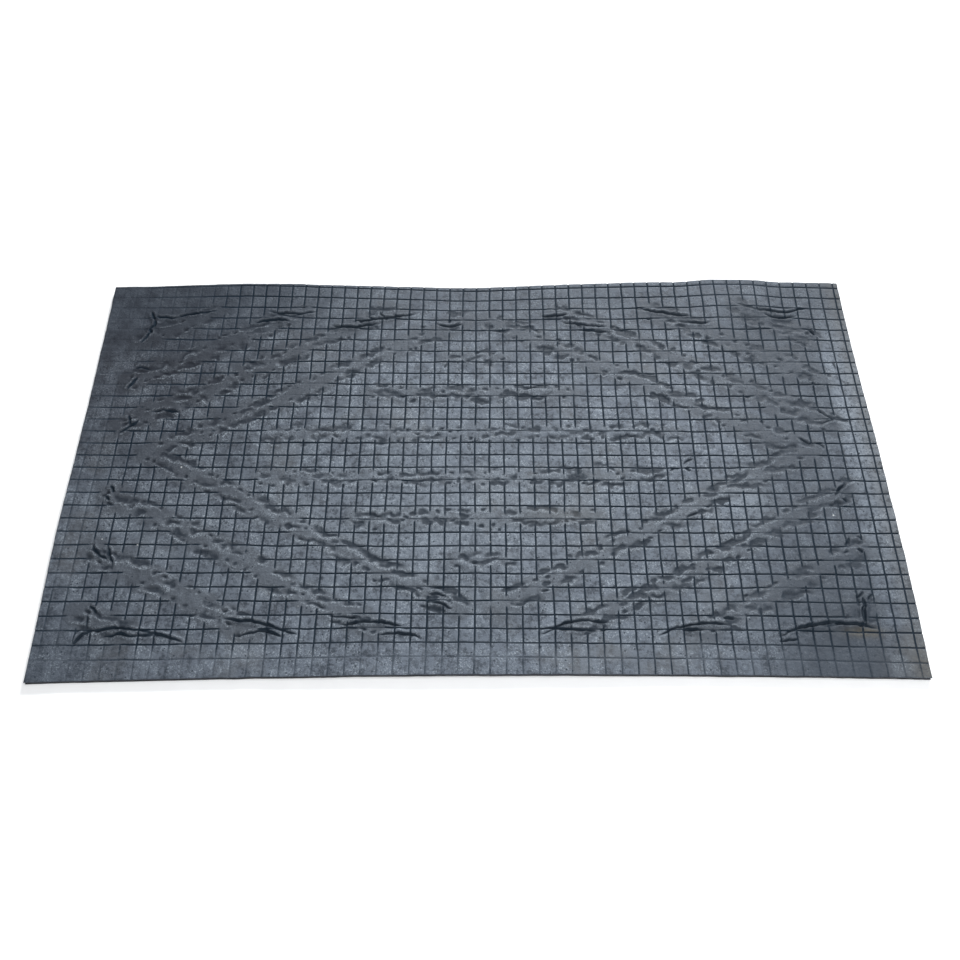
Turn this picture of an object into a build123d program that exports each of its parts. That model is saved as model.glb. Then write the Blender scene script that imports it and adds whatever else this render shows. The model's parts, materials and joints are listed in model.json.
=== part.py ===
from build123d import *
import math
import os

os.makedirs("parts", exist_ok=True)

# Seedling heat mat: a laminated rubber sheet with woven heater ribbons sealed inside.
# Millimetres, +X along the long side, +Y towards the cord-entry edge, +Z up.
# The origin is on the floor under the middle of the sheet.

MAT_W = 1110.0          # long side
MAT_D = 632.0           # short side
UNDER_BEVEL = 0.4
TOP_BEVEL = 0.5
BASE_T = 2.0            # bottom sheet
CORE_T = 3.5            # heater pack between the two rubber sheets
COVER_T = 1.8           # grooved top sheet, away from the raised bands
RAISE = 1.2             # height of the raised bands above the top sheet

FIELD_X = 500.0         # half length of the pocket inside the rubber border
FIELD_Y = 261.0         # half depth of the pocket
PATTERN_Y = 6.0         # the pocket and all in it sit this far towards the rear
FRONT_LINE = PATTERN_Y - FIELD_Y
REAR_LINE = PATTERN_Y + FIELD_Y

Z_CORE = BASE_T
Z_COVER = BASE_T + CORE_T
Z_SKIN = Z_COVER + COVER_T

# Heater pack, from the bottom up
PAD_T = 1.4             # closed-cell foam
FOIL_T = 0.2            # reflector
SCRIM_T = 0.3           # woven carrier
RIBBON_T = 0.5          # woven heater ribbon
TAPE_T = 0.5            # flat resistance wire stitched on the ribbon
FILM_T = 0.2            # insulating film
SCREEN_T = 0.4          # earthed screen

Z_PAD = Z_CORE
Z_FOIL = Z_PAD + PAD_T
Z_SCRIM = Z_FOIL + FOIL_T
Z_RIBBON = Z_SCRIM + SCRIM_T
Z_TAPE = Z_RIBBON + RIBBON_T
Z_FILM = Z_TAPE + TAPE_T
Z_SCREEN = Z_FILM + FILM_T
WIRE_T = RIBBON_T + TAPE_T

# Heater layout: concentric diamonds cut off by the pocket, with bars inside the smallest
RING_X = 416.0          # half length of the inner diamond
RING_Y = 233.0          # half depth of the inner diamond
STEP_X = 157.0          # each further ring is this much longer on each side
STEP_Y = STEP_X * RING_Y / RING_X
SLOPE = math.atan2(RING_Y, RING_X)
RIBBON_W = 36.0
RIBBON_END = 13.0       # ribbons stop this far inside the pocket's edge
GAP_X = 22.0            # half gap between the two halves of the inner diamond
BAND_W = 42.0           # raised band over a ribbon
BAR_W = 30.0            # ribbon width of the straight bars
BAR_BAND_W = 34.0
BAR_Y = (107.0, 35.0, -28.0, -98.0)
BAR_HALF = (145.0, 255.0, 255.0, 150.0)
FEED_Y = 170.0          # short bars that feed the others
FEED_HALF = 40.0
FEED_W = 26.0
FEED_RISE = 14.5        # how far round the short bars their supply runs
FEED_TURN = 6.0         # how far past the short bars their supply turns
BAR_BAND_OUT = 8.0      # a bar's raised band runs this far past its ribbon
FEED_BAND_OUT = 5.0

ZIG = 11.0              # half width of the zigzag of the resistance wire
ZIG_STEP = 12.0
ZIG_LEAD = 20.0         # straight stretch at each end of a wire
ZIG_W = 2.0
LINK_W = 2.0
LINK_OUT = 7.0          # links turn this far past the end of a ribbon
KNEE_CLEAR = 2.0        # and pass the next ribbon with this gap
LEAD_MIN = 4.0
BUS_IN = 4.0            # supply buses run this far inside the pocket's edge
LINK_IN = 9.0           # links between ribbons run this far inside the pocket's edge

# Cord entry in the rear edge
GLAND_X = 390.0
GLAND_HALF = 26.0
HOOD_HALF = 32.0        # the hood overlaps the border beside the gland
GLAND_FRONT = 276.0
GLAND_T = 9.3
BUSH_HALF = 3.8
BUSH_FRONT = 280.0
CORD_R = 2.8
HOOD_FRONT = 268.0
HOOD_TOP = 12.5
HOOD_ROUND = 4.6
SCREW_OUT = 17.0
SCREW_Y = 296.0
CORE_SPREAD = 12.0      # the cord's cores end this far apart

ZR = Z_CORE + GLAND_T / 2.0     # height of the cord's centre line

QUADRANTS = ((-1, 1), (1, 1), (-1, -1), (1, -1))


def pocket_level(z):
    """Plane at a height with its origin under the middle of the pocket."""
    return Plane((0, PATTERN_Y, z))


def ring_sides(ring):
    """Middle of each straight side of a ring, turned to lie along it."""
    half_x = RING_X + ring * STEP_X
    half_y = RING_Y + ring * STEP_Y
    return [
        Location((side_x * half_x / 2, side_y * half_y / 2, 0),
                 (0, 0, -side_x * side_y * math.degrees(SLOPE)))
        for side_x, side_y in QUADRANTS
    ]


def ring_side_length(ring):
    """Length of a ring's straight side from corner to corner."""
    return math.hypot(RING_X + ring * STEP_X, RING_Y + ring * STEP_Y)


def arm_line(ring, side_x, side_y):
    """Ends of a ribbon's centre line: at the side border, then at the front or rear border."""
    half_x = RING_X + ring * STEP_X
    half_y = RING_Y + ring * STEP_Y
    end_x = FIELD_X - RIBBON_END
    end_y = FIELD_Y - RIBBON_END
    at_side = (side_x * end_x, side_y * half_y * (1.0 - end_x / half_x))
    at_end = (side_x * half_x * (1.0 - end_y / half_y), side_y * end_y)
    return at_side, at_end


def zigzag(start, end):
    """Points of a wire with straight ends that swings from side to side between them."""
    length = math.dist(start, end)
    ux = (end[0] - start[0]) / length
    uy = (end[1] - start[1]) / length
    count = round((length - 2 * ZIG_LEAD) / ZIG_STEP)
    pitch = (length - 2 * ZIG_LEAD) / count
    points = [start, (start[0] + ux * ZIG_LEAD, start[1] + uy * ZIG_LEAD)]
    for i in range(1, count):
        along = ZIG_LEAD + pitch * i
        swing = ZIG if i % 2 else -ZIG
        points.append((start[0] + ux * along - uy * swing, start[1] + uy * along + ux * swing))
    points.append((end[0] - ux * ZIG_LEAD, end[1] - uy * ZIG_LEAD))
    points.append(end)
    return points


# ---------------------------------------------------------------- rubber sheets and border

with BuildPart() as base_sheet:
    with BuildSketch():
        Rectangle(MAT_W, MAT_D)
    extrude(amount=BASE_T)
    bottom_rim = base_sheet.faces().sort_by(Axis.Z)[0].edges()
    chamfer(bottom_rim, length=UNDER_BEVEL)
base_sheet.part.label = "base_sheet"

with BuildPart() as border_strip_front:
    with BuildSketch(Plane.XY.offset(Z_CORE)):
        with Locations((0, (FRONT_LINE - MAT_D / 2) / 2)):
            Rectangle(MAT_W, MAT_D / 2 + FRONT_LINE)
    extrude(amount=CORE_T)
border_strip_front.part.label = "border_strip_front"

with BuildPart() as border_strip_left:
    with BuildSketch(pocket_level(Z_CORE)):
        with Locations((-(MAT_W / 2 + FIELD_X) / 2, 0)):
            Rectangle(MAT_W / 2 - FIELD_X, 2 * FIELD_Y)
    extrude(amount=CORE_T)
border_strip_left.part.label = "border_strip_left"

with BuildPart() as border_strip_right:
    with BuildSketch(pocket_level(Z_CORE)):
        with Locations(((MAT_W / 2 + FIELD_X) / 2, 0)):
            Rectangle(MAT_W / 2 - FIELD_X, 2 * FIELD_Y)
    extrude(amount=CORE_T)
border_strip_right.part.label = "border_strip_right"

REAR_MID = (MAT_D / 2 + REAR_LINE) / 2
REAR_WIDE = MAT_D / 2 - REAR_LINE
LONG_END = GLAND_X - GLAND_HALF
SHORT_END = GLAND_X + GLAND_HALF

with BuildPart() as border_strip_rear_long:
    with BuildSketch(Plane.XY.offset(Z_CORE)):
        with Locations(((LONG_END - MAT_W / 2) / 2, REAR_MID)):
            Rectangle(LONG_END + MAT_W / 2, REAR_WIDE)
    extrude(amount=CORE_T)
border_strip_rear_long.part.label = "border_strip_rear_long"

with BuildPart() as border_strip_rear_short:
    with BuildSketch(Plane.XY.offset(Z_CORE)):
        with Locations(((SHORT_END + MAT_W / 2) / 2, REAR_MID)):
            Rectangle(MAT_W / 2 - SHORT_END, REAR_WIDE)
    extrude(amount=CORE_T)
border_strip_rear_short.part.label = "border_strip_rear_short"

with BuildPart() as top_cover:
    with BuildSketch(Plane.XY.offset(Z_COVER)):
        Rectangle(MAT_W, MAT_D)
    extrude(amount=COVER_T)
    outer_rim = top_cover.faces().sort_by(Axis.Z)[-1].edges()
    chamfer(outer_rim, length=TOP_BEVEL)
    # Raised bands over the heater ribbons
    with BuildSketch(pocket_level(Z_SKIN)):
        for ring in range(4):
            with Locations(*ring_sides(ring)):
                Rectangle(ring_side_length(ring), BAND_W)
        with Locations((-RING_X, 0), (RING_X, 0)):
            Circle(BAND_W / 2)
        Rectangle(2 * FIELD_X, 2 * FIELD_Y, mode=Mode.INTERSECT)
        Rectangle(2 * GAP_X, 2 * FIELD_Y, mode=Mode.SUBTRACT)
        for bar_y, bar_half in zip(BAR_Y, BAR_HALF):
            with Locations((0, bar_y)):
                SlotOverall(2 * (bar_half + BAR_BAND_OUT), BAR_BAND_W)
        with Locations((0, FEED_Y), (0, -FEED_Y)):
            SlotOverall(2 * (FEED_HALF + FEED_BAND_OUT), FEED_W)
    extrude(amount=RAISE)
    # Notch for the hood over the cord entry
    with BuildSketch(Plane.XY.offset(Z_COVER)):
        with Locations((GLAND_X, (HOOD_FRONT + MAT_D / 2) / 2)):
            Rectangle(2 * HOOD_HALF, MAT_D / 2 - HOOD_FRONT)
    extrude(amount=COVER_T + RAISE, mode=Mode.SUBTRACT)
top_cover.part.label = "top_cover"

# ---------------------------------------------------------------- heater pack layers

FUSE_X = 460.0
FUSE_L = 20.0
FUSE_W = 7.0
FUSE_Y = FIELD_Y - BUS_IN
FUSE_GAP = 0.4          # play round the fuse, both sides together
SHEET_X = FIELD_X - 2.0
SHEET_Y = FIELD_Y - 0.5
TONGUE_END = GLAND_FRONT - PATTERN_Y - 0.5
SPLICE_Y = SHEET_Y
SPLICE_L = 9.0
SPLICE_W = 4.0
EARTH_TAB_W = 6.0
EARTH_TAB_IN = 1.5

with BuildPart() as insulation_pad:
    with BuildSketch(pocket_level(Z_PAD)):
        Rectangle(2 * SHEET_X, 2 * SHEET_Y)
        with Locations((GLAND_X, (SHEET_Y + TONGUE_END) / 2)):
            Rectangle(2 * GLAND_HALF, TONGUE_END - SHEET_Y)
        with Locations((FUSE_X, FUSE_Y)):
            Rectangle(FUSE_L + FUSE_GAP, FUSE_W + FUSE_GAP, mode=Mode.SUBTRACT)
    extrude(amount=PAD_T)
insulation_pad.part.label = "insulation_pad"

with BuildPart() as reflector_foil:
    with BuildSketch(pocket_level(Z_FOIL)):
        Rectangle(2 * SHEET_X, 2 * SHEET_Y)
        with Locations((FUSE_X, FUSE_Y)):
            Rectangle(FUSE_L + FUSE_GAP, FUSE_W + FUSE_GAP, mode=Mode.SUBTRACT)
    extrude(amount=FOIL_T)
reflector_foil.part.label = "reflector_foil"

with BuildPart() as carrier_scrim:
    with BuildSketch(pocket_level(Z_SCRIM)):
        Rectangle(2 * SHEET_X, 2 * SHEET_Y)
        with Locations((FUSE_X, FUSE_Y)):
            Rectangle(FUSE_L + FUSE_GAP, FUSE_W + FUSE_GAP, mode=Mode.SUBTRACT)
    extrude(amount=SCRIM_T)
carrier_scrim.part.label = "carrier_scrim"

with BuildPart() as insulating_film:
    with BuildSketch(pocket_level(Z_FILM)):
        Rectangle(2 * SHEET_X, 2 * SHEET_Y)
    extrude(amount=FILM_T)
insulating_film.part.label = "insulating_film"

with BuildPart() as earth_screen:
    with BuildSketch(pocket_level(Z_SCREEN)):
        Rectangle(2 * SHEET_X, 2 * SHEET_Y)
        with Locations((GLAND_X, SHEET_Y + (SPLICE_L - EARTH_TAB_IN) / 2)):
            Rectangle(EARTH_TAB_W, SPLICE_L + EARTH_TAB_IN)
    extrude(amount=SCREEN_T)
earth_screen.part.label = "earth_screen"

# ---------------------------------------------------------------- heater ribbons

RIBBON_X = FIELD_X - RIBBON_END
RIBBON_Y = FIELD_Y - RIBBON_END

with BuildPart() as heater_ribbon_diamond_left:
    with BuildSketch(pocket_level(Z_RIBBON)):
        with Locations(*ring_sides(0)):
            Rectangle(ring_side_length(0), RIBBON_W)
        with Locations((-RING_X, 0)):
            Circle(RIBBON_W / 2)
        with Locations((MAT_W / 2 - GAP_X, 0)):
            Rectangle(MAT_W, MAT_D, mode=Mode.SUBTRACT)
    extrude(amount=RIBBON_T)
heater_ribbon_diamond_left.part.label = "heater_ribbon_diamond_left"

with BuildPart() as heater_ribbon_diamond_right:
    with BuildSketch(pocket_level(Z_RIBBON)):
        with Locations(*ring_sides(0)):
            Rectangle(ring_side_length(0), RIBBON_W)
        with Locations((RING_X, 0)):
            Circle(RIBBON_W / 2)
        with Locations((GAP_X - MAT_W / 2, 0)):
            Rectangle(MAT_W, MAT_D, mode=Mode.SUBTRACT)
    extrude(amount=RIBBON_T)
heater_ribbon_diamond_right.part.label = "heater_ribbon_diamond_right"

with BuildPart() as heater_ribbon_second:
    with BuildSketch(pocket_level(Z_RIBBON)):
        with Locations(*ring_sides(1)):
            Rectangle(ring_side_length(1), RIBBON_W)
        Rectangle(2 * RIBBON_X, 2 * RIBBON_Y, mode=Mode.INTERSECT)
    extrude(amount=RIBBON_T)
heater_ribbon_second.part.label = "heater_ribbon_second"

with BuildPart() as heater_ribbon_third:
    with BuildSketch(pocket_level(Z_RIBBON)):
        with Locations(*ring_sides(2)):
            Rectangle(ring_side_length(2), RIBBON_W)
        Rectangle(2 * RIBBON_X, 2 * RIBBON_Y, mode=Mode.INTERSECT)
    extrude(amount=RIBBON_T)
heater_ribbon_third.part.label = "heater_ribbon_third"

with BuildPart() as heater_ribbon_corner:
    with BuildSketch(pocket_level(Z_RIBBON)):
        with Locations(*ring_sides(3)):
            Rectangle(ring_side_length(3), RIBBON_W)
        Rectangle(2 * RIBBON_X, 2 * RIBBON_Y, mode=Mode.INTERSECT)
    extrude(amount=RIBBON_T)
heater_ribbon_corner.part.label = "heater_ribbon_corner"

with BuildPart() as heater_ribbon_bars:
    with BuildSketch(pocket_level(Z_RIBBON)):
        for bar_y, bar_half in zip(BAR_Y, BAR_HALF):
            with Locations((0, bar_y)):
                Rectangle(2 * bar_half, BAR_W)
        with Locations((0, FEED_Y), (0, -FEED_Y)):
            Rectangle(2 * FEED_HALF, FEED_W)
    extrude(amount=RIBBON_T)
heater_ribbon_bars.part.label = "heater_ribbon_bars"

# ---------------------------------------------------------------- resistance wires

GAP_Y = RING_Y * (1.0 - GAP_X / RING_X)
WIRE_GAP_X = GAP_X + 0.5
WIRE_GAP_Y = RING_Y * (1.0 - WIRE_GAP_X / RING_X)

with BuildPart() as heating_wire_diamond_left:
    with BuildSketch(pocket_level(Z_TAPE)):
        with BuildLine():
            Polyline(*zigzag((-WIRE_GAP_X, WIRE_GAP_Y), (-RING_X, 0)))
            Polyline(*zigzag((-RING_X, 0), (-WIRE_GAP_X, -WIRE_GAP_Y)))
        trace(line_width=ZIG_W)
    extrude(amount=TAPE_T)
heating_wire_diamond_left.part.label = "heating_wire_diamond_left"

with BuildPart() as heating_wire_diamond_right:
    with BuildSketch(pocket_level(Z_TAPE)):
        with BuildLine():
            Polyline(*zigzag((WIRE_GAP_X, WIRE_GAP_Y), (RING_X, 0)))
            Polyline(*zigzag((RING_X, 0), (WIRE_GAP_X, -WIRE_GAP_Y)))
        trace(line_width=ZIG_W)
    extrude(amount=TAPE_T)
heating_wire_diamond_right.part.label = "heating_wire_diamond_right"

with BuildPart() as heating_wire_second:
    with BuildSketch(pocket_level(Z_TAPE)):
        for side_x, side_y in QUADRANTS:
            with BuildLine():
                Polyline(*zigzag(*arm_line(1, side_x, side_y)))
            trace(line_width=ZIG_W)
        Rectangle(2 * RIBBON_X, 2 * RIBBON_Y, mode=Mode.INTERSECT)
    extrude(amount=TAPE_T)
heating_wire_second.part.label = "heating_wire_second"

with BuildPart() as heating_wire_third:
    with BuildSketch(pocket_level(Z_TAPE)):
        for side_x, side_y in QUADRANTS:
            with BuildLine():
                Polyline(*zigzag(*arm_line(2, side_x, side_y)))
            trace(line_width=ZIG_W)
        Rectangle(2 * RIBBON_X, 2 * RIBBON_Y, mode=Mode.INTERSECT)
    extrude(amount=TAPE_T)
heating_wire_third.part.label = "heating_wire_third"

with BuildPart() as heating_wire_corner:
    with BuildSketch(pocket_level(Z_TAPE)):
        for side_x, side_y in QUADRANTS:
            with BuildLine():
                Polyline(*arm_line(3, side_x, side_y))
            trace(line_width=ZIG_W)
        Rectangle(2 * RIBBON_X, 2 * RIBBON_Y, mode=Mode.INTERSECT)
    extrude(amount=TAPE_T)
heating_wire_corner.part.label = "heating_wire_corner"

with BuildPart() as heating_wire_bars:
    with BuildSketch(pocket_level(Z_TAPE)):
        for bar_y, bar_half in zip(BAR_Y, BAR_HALF):
            with BuildLine():
                Polyline(*zigzag((-bar_half, bar_y), (bar_half, bar_y)))
            trace(line_width=ZIG_W)
        for feed_y in (FEED_Y, -FEED_Y):
            with BuildLine():
                Polyline(*zigzag((-FEED_HALF, feed_y), (FEED_HALF, feed_y)))
            trace(line_width=ZIG_W)
    extrude(amount=TAPE_T)
heating_wire_bars.part.label = "heating_wire_bars"

# ---------------------------------------------------------------- supply buses and links

BUS_X = FIELD_X - BUS_IN
BUS_Y = FIELD_Y - BUS_IN
LINK_X = FIELD_X - LINK_IN
LINK_Y = FIELD_Y - LINK_IN
second_side, second_end = arm_line(1, 1, 1)
third_side, third_end = arm_line(2, 1, 1)
corner_side, corner_end = arm_line(3, 1, 1)
LIVE_X = GLAND_X + CORE_SPREAD
NEUTRAL_X = GLAND_X - CORE_SPREAD
FUSE_RIGHT = FUSE_X + FUSE_L / 2
FUSE_LEFT = FUSE_X - FUSE_L / 2

# Live: a U along the left, front and right borders, with a branch to each corner ribbon
with BuildPart() as live_bus:
    with BuildSketch(pocket_level(Z_RIBBON)):
        with BuildLine():
            Polyline(
                (-RIBBON_X, corner_side[1]), (-BUS_X, corner_side[1]), (-BUS_X, -BUS_Y),
                (BUS_X, -BUS_Y), (BUS_X, BUS_Y), (FUSE_RIGHT, BUS_Y),
            )
        trace(line_width=LINK_W)
        with BuildLine():
            Line((RIBBON_X, corner_side[1]), (BUS_X, corner_side[1]))
        trace(line_width=LINK_W)
        with BuildLine():
            Line((RIBBON_X, -corner_side[1]), (BUS_X, -corner_side[1]))
        trace(line_width=LINK_W)
        with BuildLine():
            Line((-RIBBON_X, -corner_side[1]), (-BUS_X, -corner_side[1]))
        trace(line_width=LINK_W)
        with BuildLine():
            Polyline(
                (-FEED_HALF, -FEED_Y), (-FEED_HALF - FEED_TURN, -FEED_Y),
                (-FEED_HALF - FEED_TURN, -FEED_Y - FEED_RISE), (0, -FEED_Y - FEED_RISE), (0, -BUS_Y),
            )
        trace(line_width=LINK_W)
    extrude(amount=WIRE_T)
live_bus.part.label = "live_bus"

with BuildPart() as live_feed:
    with BuildSketch(pocket_level(Z_RIBBON)):
        with BuildLine():
            Polyline((FUSE_LEFT, BUS_Y), (LIVE_X, BUS_Y), (LIVE_X, SPLICE_Y))
        trace(line_width=LINK_W)
    extrude(amount=WIRE_T)
live_feed.part.label = "live_feed"

# Neutral: along the rear border, with branches to the second ring, the diamond and the bars
with BuildPart() as neutral_bus:
    with BuildSketch(pocket_level(Z_RIBBON)):
        with BuildLine():
            Polyline((-second_end[0], RIBBON_Y), (-second_end[0], BUS_Y),
                     (NEUTRAL_X, BUS_Y), (NEUTRAL_X, SPLICE_Y))
        trace(line_width=LINK_W)
        with BuildLine():
            Line((second_end[0], RIBBON_Y), (second_end[0], BUS_Y))
        trace(line_width=LINK_W)
        for side_x in (-1, 1):
            with BuildLine():
                Polyline((side_x * GAP_X, GAP_Y), (side_x * (GAP_X - LINK_OUT), GAP_Y),
                         (side_x * (GAP_X - LINK_OUT), BUS_Y))
            trace(line_width=LINK_W)
        with BuildLine():
            Polyline(
                (-FEED_HALF, FEED_Y), (-FEED_HALF - FEED_TURN, FEED_Y),
                (-FEED_HALF - FEED_TURN, FEED_Y + FEED_RISE), (0, FEED_Y + FEED_RISE), (0, BUS_Y),
            )
        trace(line_width=LINK_W)
    extrude(amount=WIRE_T)
neutral_bus.part.label = "neutral_bus"

# Links that carry each run from one ribbon to the next along the borders
with BuildPart() as border_links:
    with BuildSketch(pocket_level(Z_RIBBON)):
        for side_x, side_y in QUADRANTS:
            with BuildLine():
                Polyline(
                    (side_x * RIBBON_X, side_y * second_side[1]),
                    (side_x * LINK_X, side_y * second_side[1]),
                    (side_x * LINK_X, side_y * third_side[1]),
                    (side_x * RIBBON_X, side_y * third_side[1]),
                )
            trace(line_width=LINK_W)
            with BuildLine():
                Polyline(
                    (side_x * third_end[0], side_y * RIBBON_Y),
                    (side_x * third_end[0], side_y * LINK_Y),
                    (side_x * corner_end[0], side_y * LINK_Y),
                    (side_x * corner_end[0], side_y * RIBBON_Y),
                )
            trace(line_width=LINK_W)
        for side_x in (-1, 1):
            with BuildLine():
                Polyline(
                    (side_x * GAP_X, -GAP_Y),
                    (side_x * (GAP_X - LINK_OUT), -GAP_Y),
                    (side_x * (GAP_X - LINK_OUT), -LINK_Y),
                    (side_x * second_end[0], -LINK_Y),
                    (side_x * second_end[0], -RIBBON_Y),
                )
            trace(line_width=LINK_W)
    extrude(amount=WIRE_T)
border_links.part.label = "border_links"

# Links between the bars, alternately at the right and at the left
LEAN = RING_X / RING_Y
with BuildPart() as bar_links:
    with BuildSketch(pocket_level(Z_RIBBON)):
        for side_y, start_half, end_half, start_y, end_y, side_x in (
            (1, FEED_HALF, BAR_HALF[0], FEED_Y, BAR_Y[0], 1),
            (1, BAR_HALF[0], BAR_HALF[1], BAR_Y[0], BAR_Y[1], -1),
            (-1, BAR_HALF[3], BAR_HALF[2], BAR_Y[3], BAR_Y[2], -1),
            (-1, FEED_HALF, BAR_HALF[3], -FEED_Y, BAR_Y[3], 1),
        ):
            knee_y = end_y + side_y * (BAR_W / 2 + KNEE_CLEAR)
            knee_x = end_half + LINK_OUT
            lead_x = knee_x - LEAN * (abs(start_y) - abs(knee_y))
            with BuildLine():
                Polyline(
                    (side_x * start_half, start_y),
                    (side_x * max(lead_x, start_half + LEAD_MIN), start_y),
                    (side_x * knee_x, knee_y),
                    (side_x * knee_x, end_y),
                    (side_x * end_half, end_y),
                )
            trace(line_width=LINK_W)
        with BuildLine():
            Polyline(
                (BAR_HALF[1], BAR_Y[1]), (BAR_HALF[1] + LINK_OUT, BAR_Y[1]),
                (BAR_HALF[2] + LINK_OUT, BAR_Y[2]), (BAR_HALF[2], BAR_Y[2]),
            )
        trace(line_width=LINK_W)
    extrude(amount=WIRE_T)
bar_links.part.label = "bar_links"

# ---------------------------------------------------------------- thermal fuse and splices

CASE_ROUND = 0.8
LID_ROUND = 0.6
LID_STEP = 1.2          # the lid is this much smaller than the case
BARREL_BEVEL = 0.4

with BuildPart() as thermal_fuse_case:
    with BuildSketch(pocket_level(Z_PAD)):
        with Locations((FUSE_X, FUSE_Y)):
            Rectangle(FUSE_L, FUSE_W)
    extrude(amount=Z_TAPE - Z_PAD)
    fuse_rim = thermal_fuse_case.edges().filter_by(Axis.Z)
    fillet(fuse_rim, radius=CASE_ROUND)
thermal_fuse_case.part.label = "thermal_fuse_case"

with BuildPart() as thermal_fuse_lid:
    with BuildSketch(pocket_level(Z_TAPE)):
        with Locations((FUSE_X, FUSE_Y)):
            Rectangle(FUSE_L - LID_STEP, FUSE_W - LID_STEP)
    extrude(amount=TAPE_T)
    fuse_lid_rim = thermal_fuse_lid.edges().filter_by(Axis.Z)
    fillet(fuse_lid_rim, radius=LID_ROUND)
thermal_fuse_lid.part.label = "thermal_fuse_lid"

with BuildPart() as splice_barrels:
    with BuildSketch(pocket_level(Z_FOIL)):
        for splice_x in (NEUTRAL_X, GLAND_X, LIVE_X):
            with Locations((splice_x, SPLICE_Y + SPLICE_L / 2)):
                Rectangle(SPLICE_W, SPLICE_L)
    extrude(amount=Z_SCREEN - Z_FOIL)
    barrel_rims = splice_barrels.edges().filter_by(Axis.Y).group_by(Axis.Z)[-1]
    chamfer(barrel_rims, length=BARREL_BEVEL)
splice_barrels.part.label = "splice_barrels"

# ---------------------------------------------------------------- cord entry

GLAND_Y = (GLAND_FRONT + MAT_D / 2) / 2
GLAND_D = MAT_D / 2 - GLAND_FRONT
Z_GLAND_TOP = Z_CORE + GLAND_T
HEAD_R = 2.6
HEAD_T = 1.6
HEAD_BELOW = 0.2        # the heads sit this far below the gland's top
SHANK_R = 1.4
SHANK_DEEP = 3.4        # thread below the joint of the two halves
HOLE_DEEP = 3.6
SCREW_PLAY = 0.3
CROSS_L = 3.2           # cross recess of the screw heads
CROSS_W = 0.7
CROSS_DEEP = 0.8
Z_HEAD = Z_GLAND_TOP - HEAD_T - HEAD_BELOW

with BuildPart() as gland_lower:
    with BuildSketch(Plane.XY.offset(Z_CORE)):
        with Locations((GLAND_X, GLAND_Y)):
            Rectangle(2 * GLAND_HALF, GLAND_D)
    extrude(amount=GLAND_T / 2)
    with BuildSketch(Plane.XY.offset(ZR - BUSH_HALF)):
        with Locations((GLAND_X, GLAND_Y)):
            Rectangle(2 * BUSH_HALF, GLAND_D)
    extrude(amount=BUSH_HALF, mode=Mode.SUBTRACT)
    with BuildSketch(Plane.XY.offset(ZR - HOLE_DEEP)):
        with Locations((GLAND_X - SCREW_OUT, SCREW_Y), (GLAND_X + SCREW_OUT, SCREW_Y)):
            Circle(SHANK_R + SCREW_PLAY)
    extrude(amount=HOLE_DEEP, mode=Mode.SUBTRACT)
gland_lower.part.label = "gland_lower"

with BuildPart() as gland_upper:
    with BuildSketch(Plane.XY.offset(ZR)):
        with Locations((GLAND_X, GLAND_Y)):
            Rectangle(2 * GLAND_HALF, GLAND_D)
    extrude(amount=GLAND_T / 2)
    with BuildSketch(Plane.XY.offset(ZR)):
        with Locations((GLAND_X, GLAND_Y)):
            Rectangle(2 * BUSH_HALF, GLAND_D)
    extrude(amount=BUSH_HALF, mode=Mode.SUBTRACT)
    with BuildSketch(Plane.XY.offset(ZR)):
        with Locations((GLAND_X - SCREW_OUT, SCREW_Y), (GLAND_X + SCREW_OUT, SCREW_Y)):
            Circle(SHANK_R + SCREW_PLAY)
    extrude(amount=GLAND_T / 2, mode=Mode.SUBTRACT)
    with BuildSketch(Plane.XY.offset(Z_HEAD)):
        with Locations((GLAND_X - SCREW_OUT, SCREW_Y), (GLAND_X + SCREW_OUT, SCREW_Y)):
            Circle(HEAD_R + SCREW_PLAY)
    extrude(amount=Z_GLAND_TOP - Z_HEAD, mode=Mode.SUBTRACT)
gland_upper.part.label = "gland_upper"

with BuildPart() as gland_screws:
    with BuildSketch(Plane.XY.offset(ZR - SHANK_DEEP)):
        with Locations((GLAND_X - SCREW_OUT, SCREW_Y), (GLAND_X + SCREW_OUT, SCREW_Y)):
            Circle(SHANK_R)
    extrude(amount=Z_HEAD - ZR + SHANK_DEEP)
    with BuildSketch(Plane.XY.offset(Z_HEAD)):
        with Locations((GLAND_X - SCREW_OUT, SCREW_Y), (GLAND_X + SCREW_OUT, SCREW_Y)):
            Circle(HEAD_R)
    extrude(amount=HEAD_T)
    with BuildSketch(Plane.XY.offset(Z_HEAD + HEAD_T - CROSS_DEEP)):
        with Locations((GLAND_X - SCREW_OUT, SCREW_Y), (GLAND_X + SCREW_OUT, SCREW_Y)):
            Rectangle(CROSS_L, CROSS_W)
            Rectangle(CROSS_W, CROSS_L)
    extrude(amount=CROSS_DEEP, mode=Mode.SUBTRACT)
gland_screws.part.label = "gland_screws"

with BuildPart() as gland_bush:
    with BuildSketch(Plane.XY.offset(ZR - BUSH_HALF)):
        with Locations((GLAND_X, (BUSH_FRONT + MAT_D / 2) / 2)):
            Rectangle(2 * BUSH_HALF, MAT_D / 2 - BUSH_FRONT)
    extrude(amount=2 * BUSH_HALF)
    with BuildSketch(Plane.XZ.offset(-MAT_D / 2)):
        with Locations((GLAND_X, ZR)):
            Circle(CORD_R)
    extrude(amount=MAT_D / 2 - BUSH_FRONT, mode=Mode.SUBTRACT)
gland_bush.part.label = "gland_bush"

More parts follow.
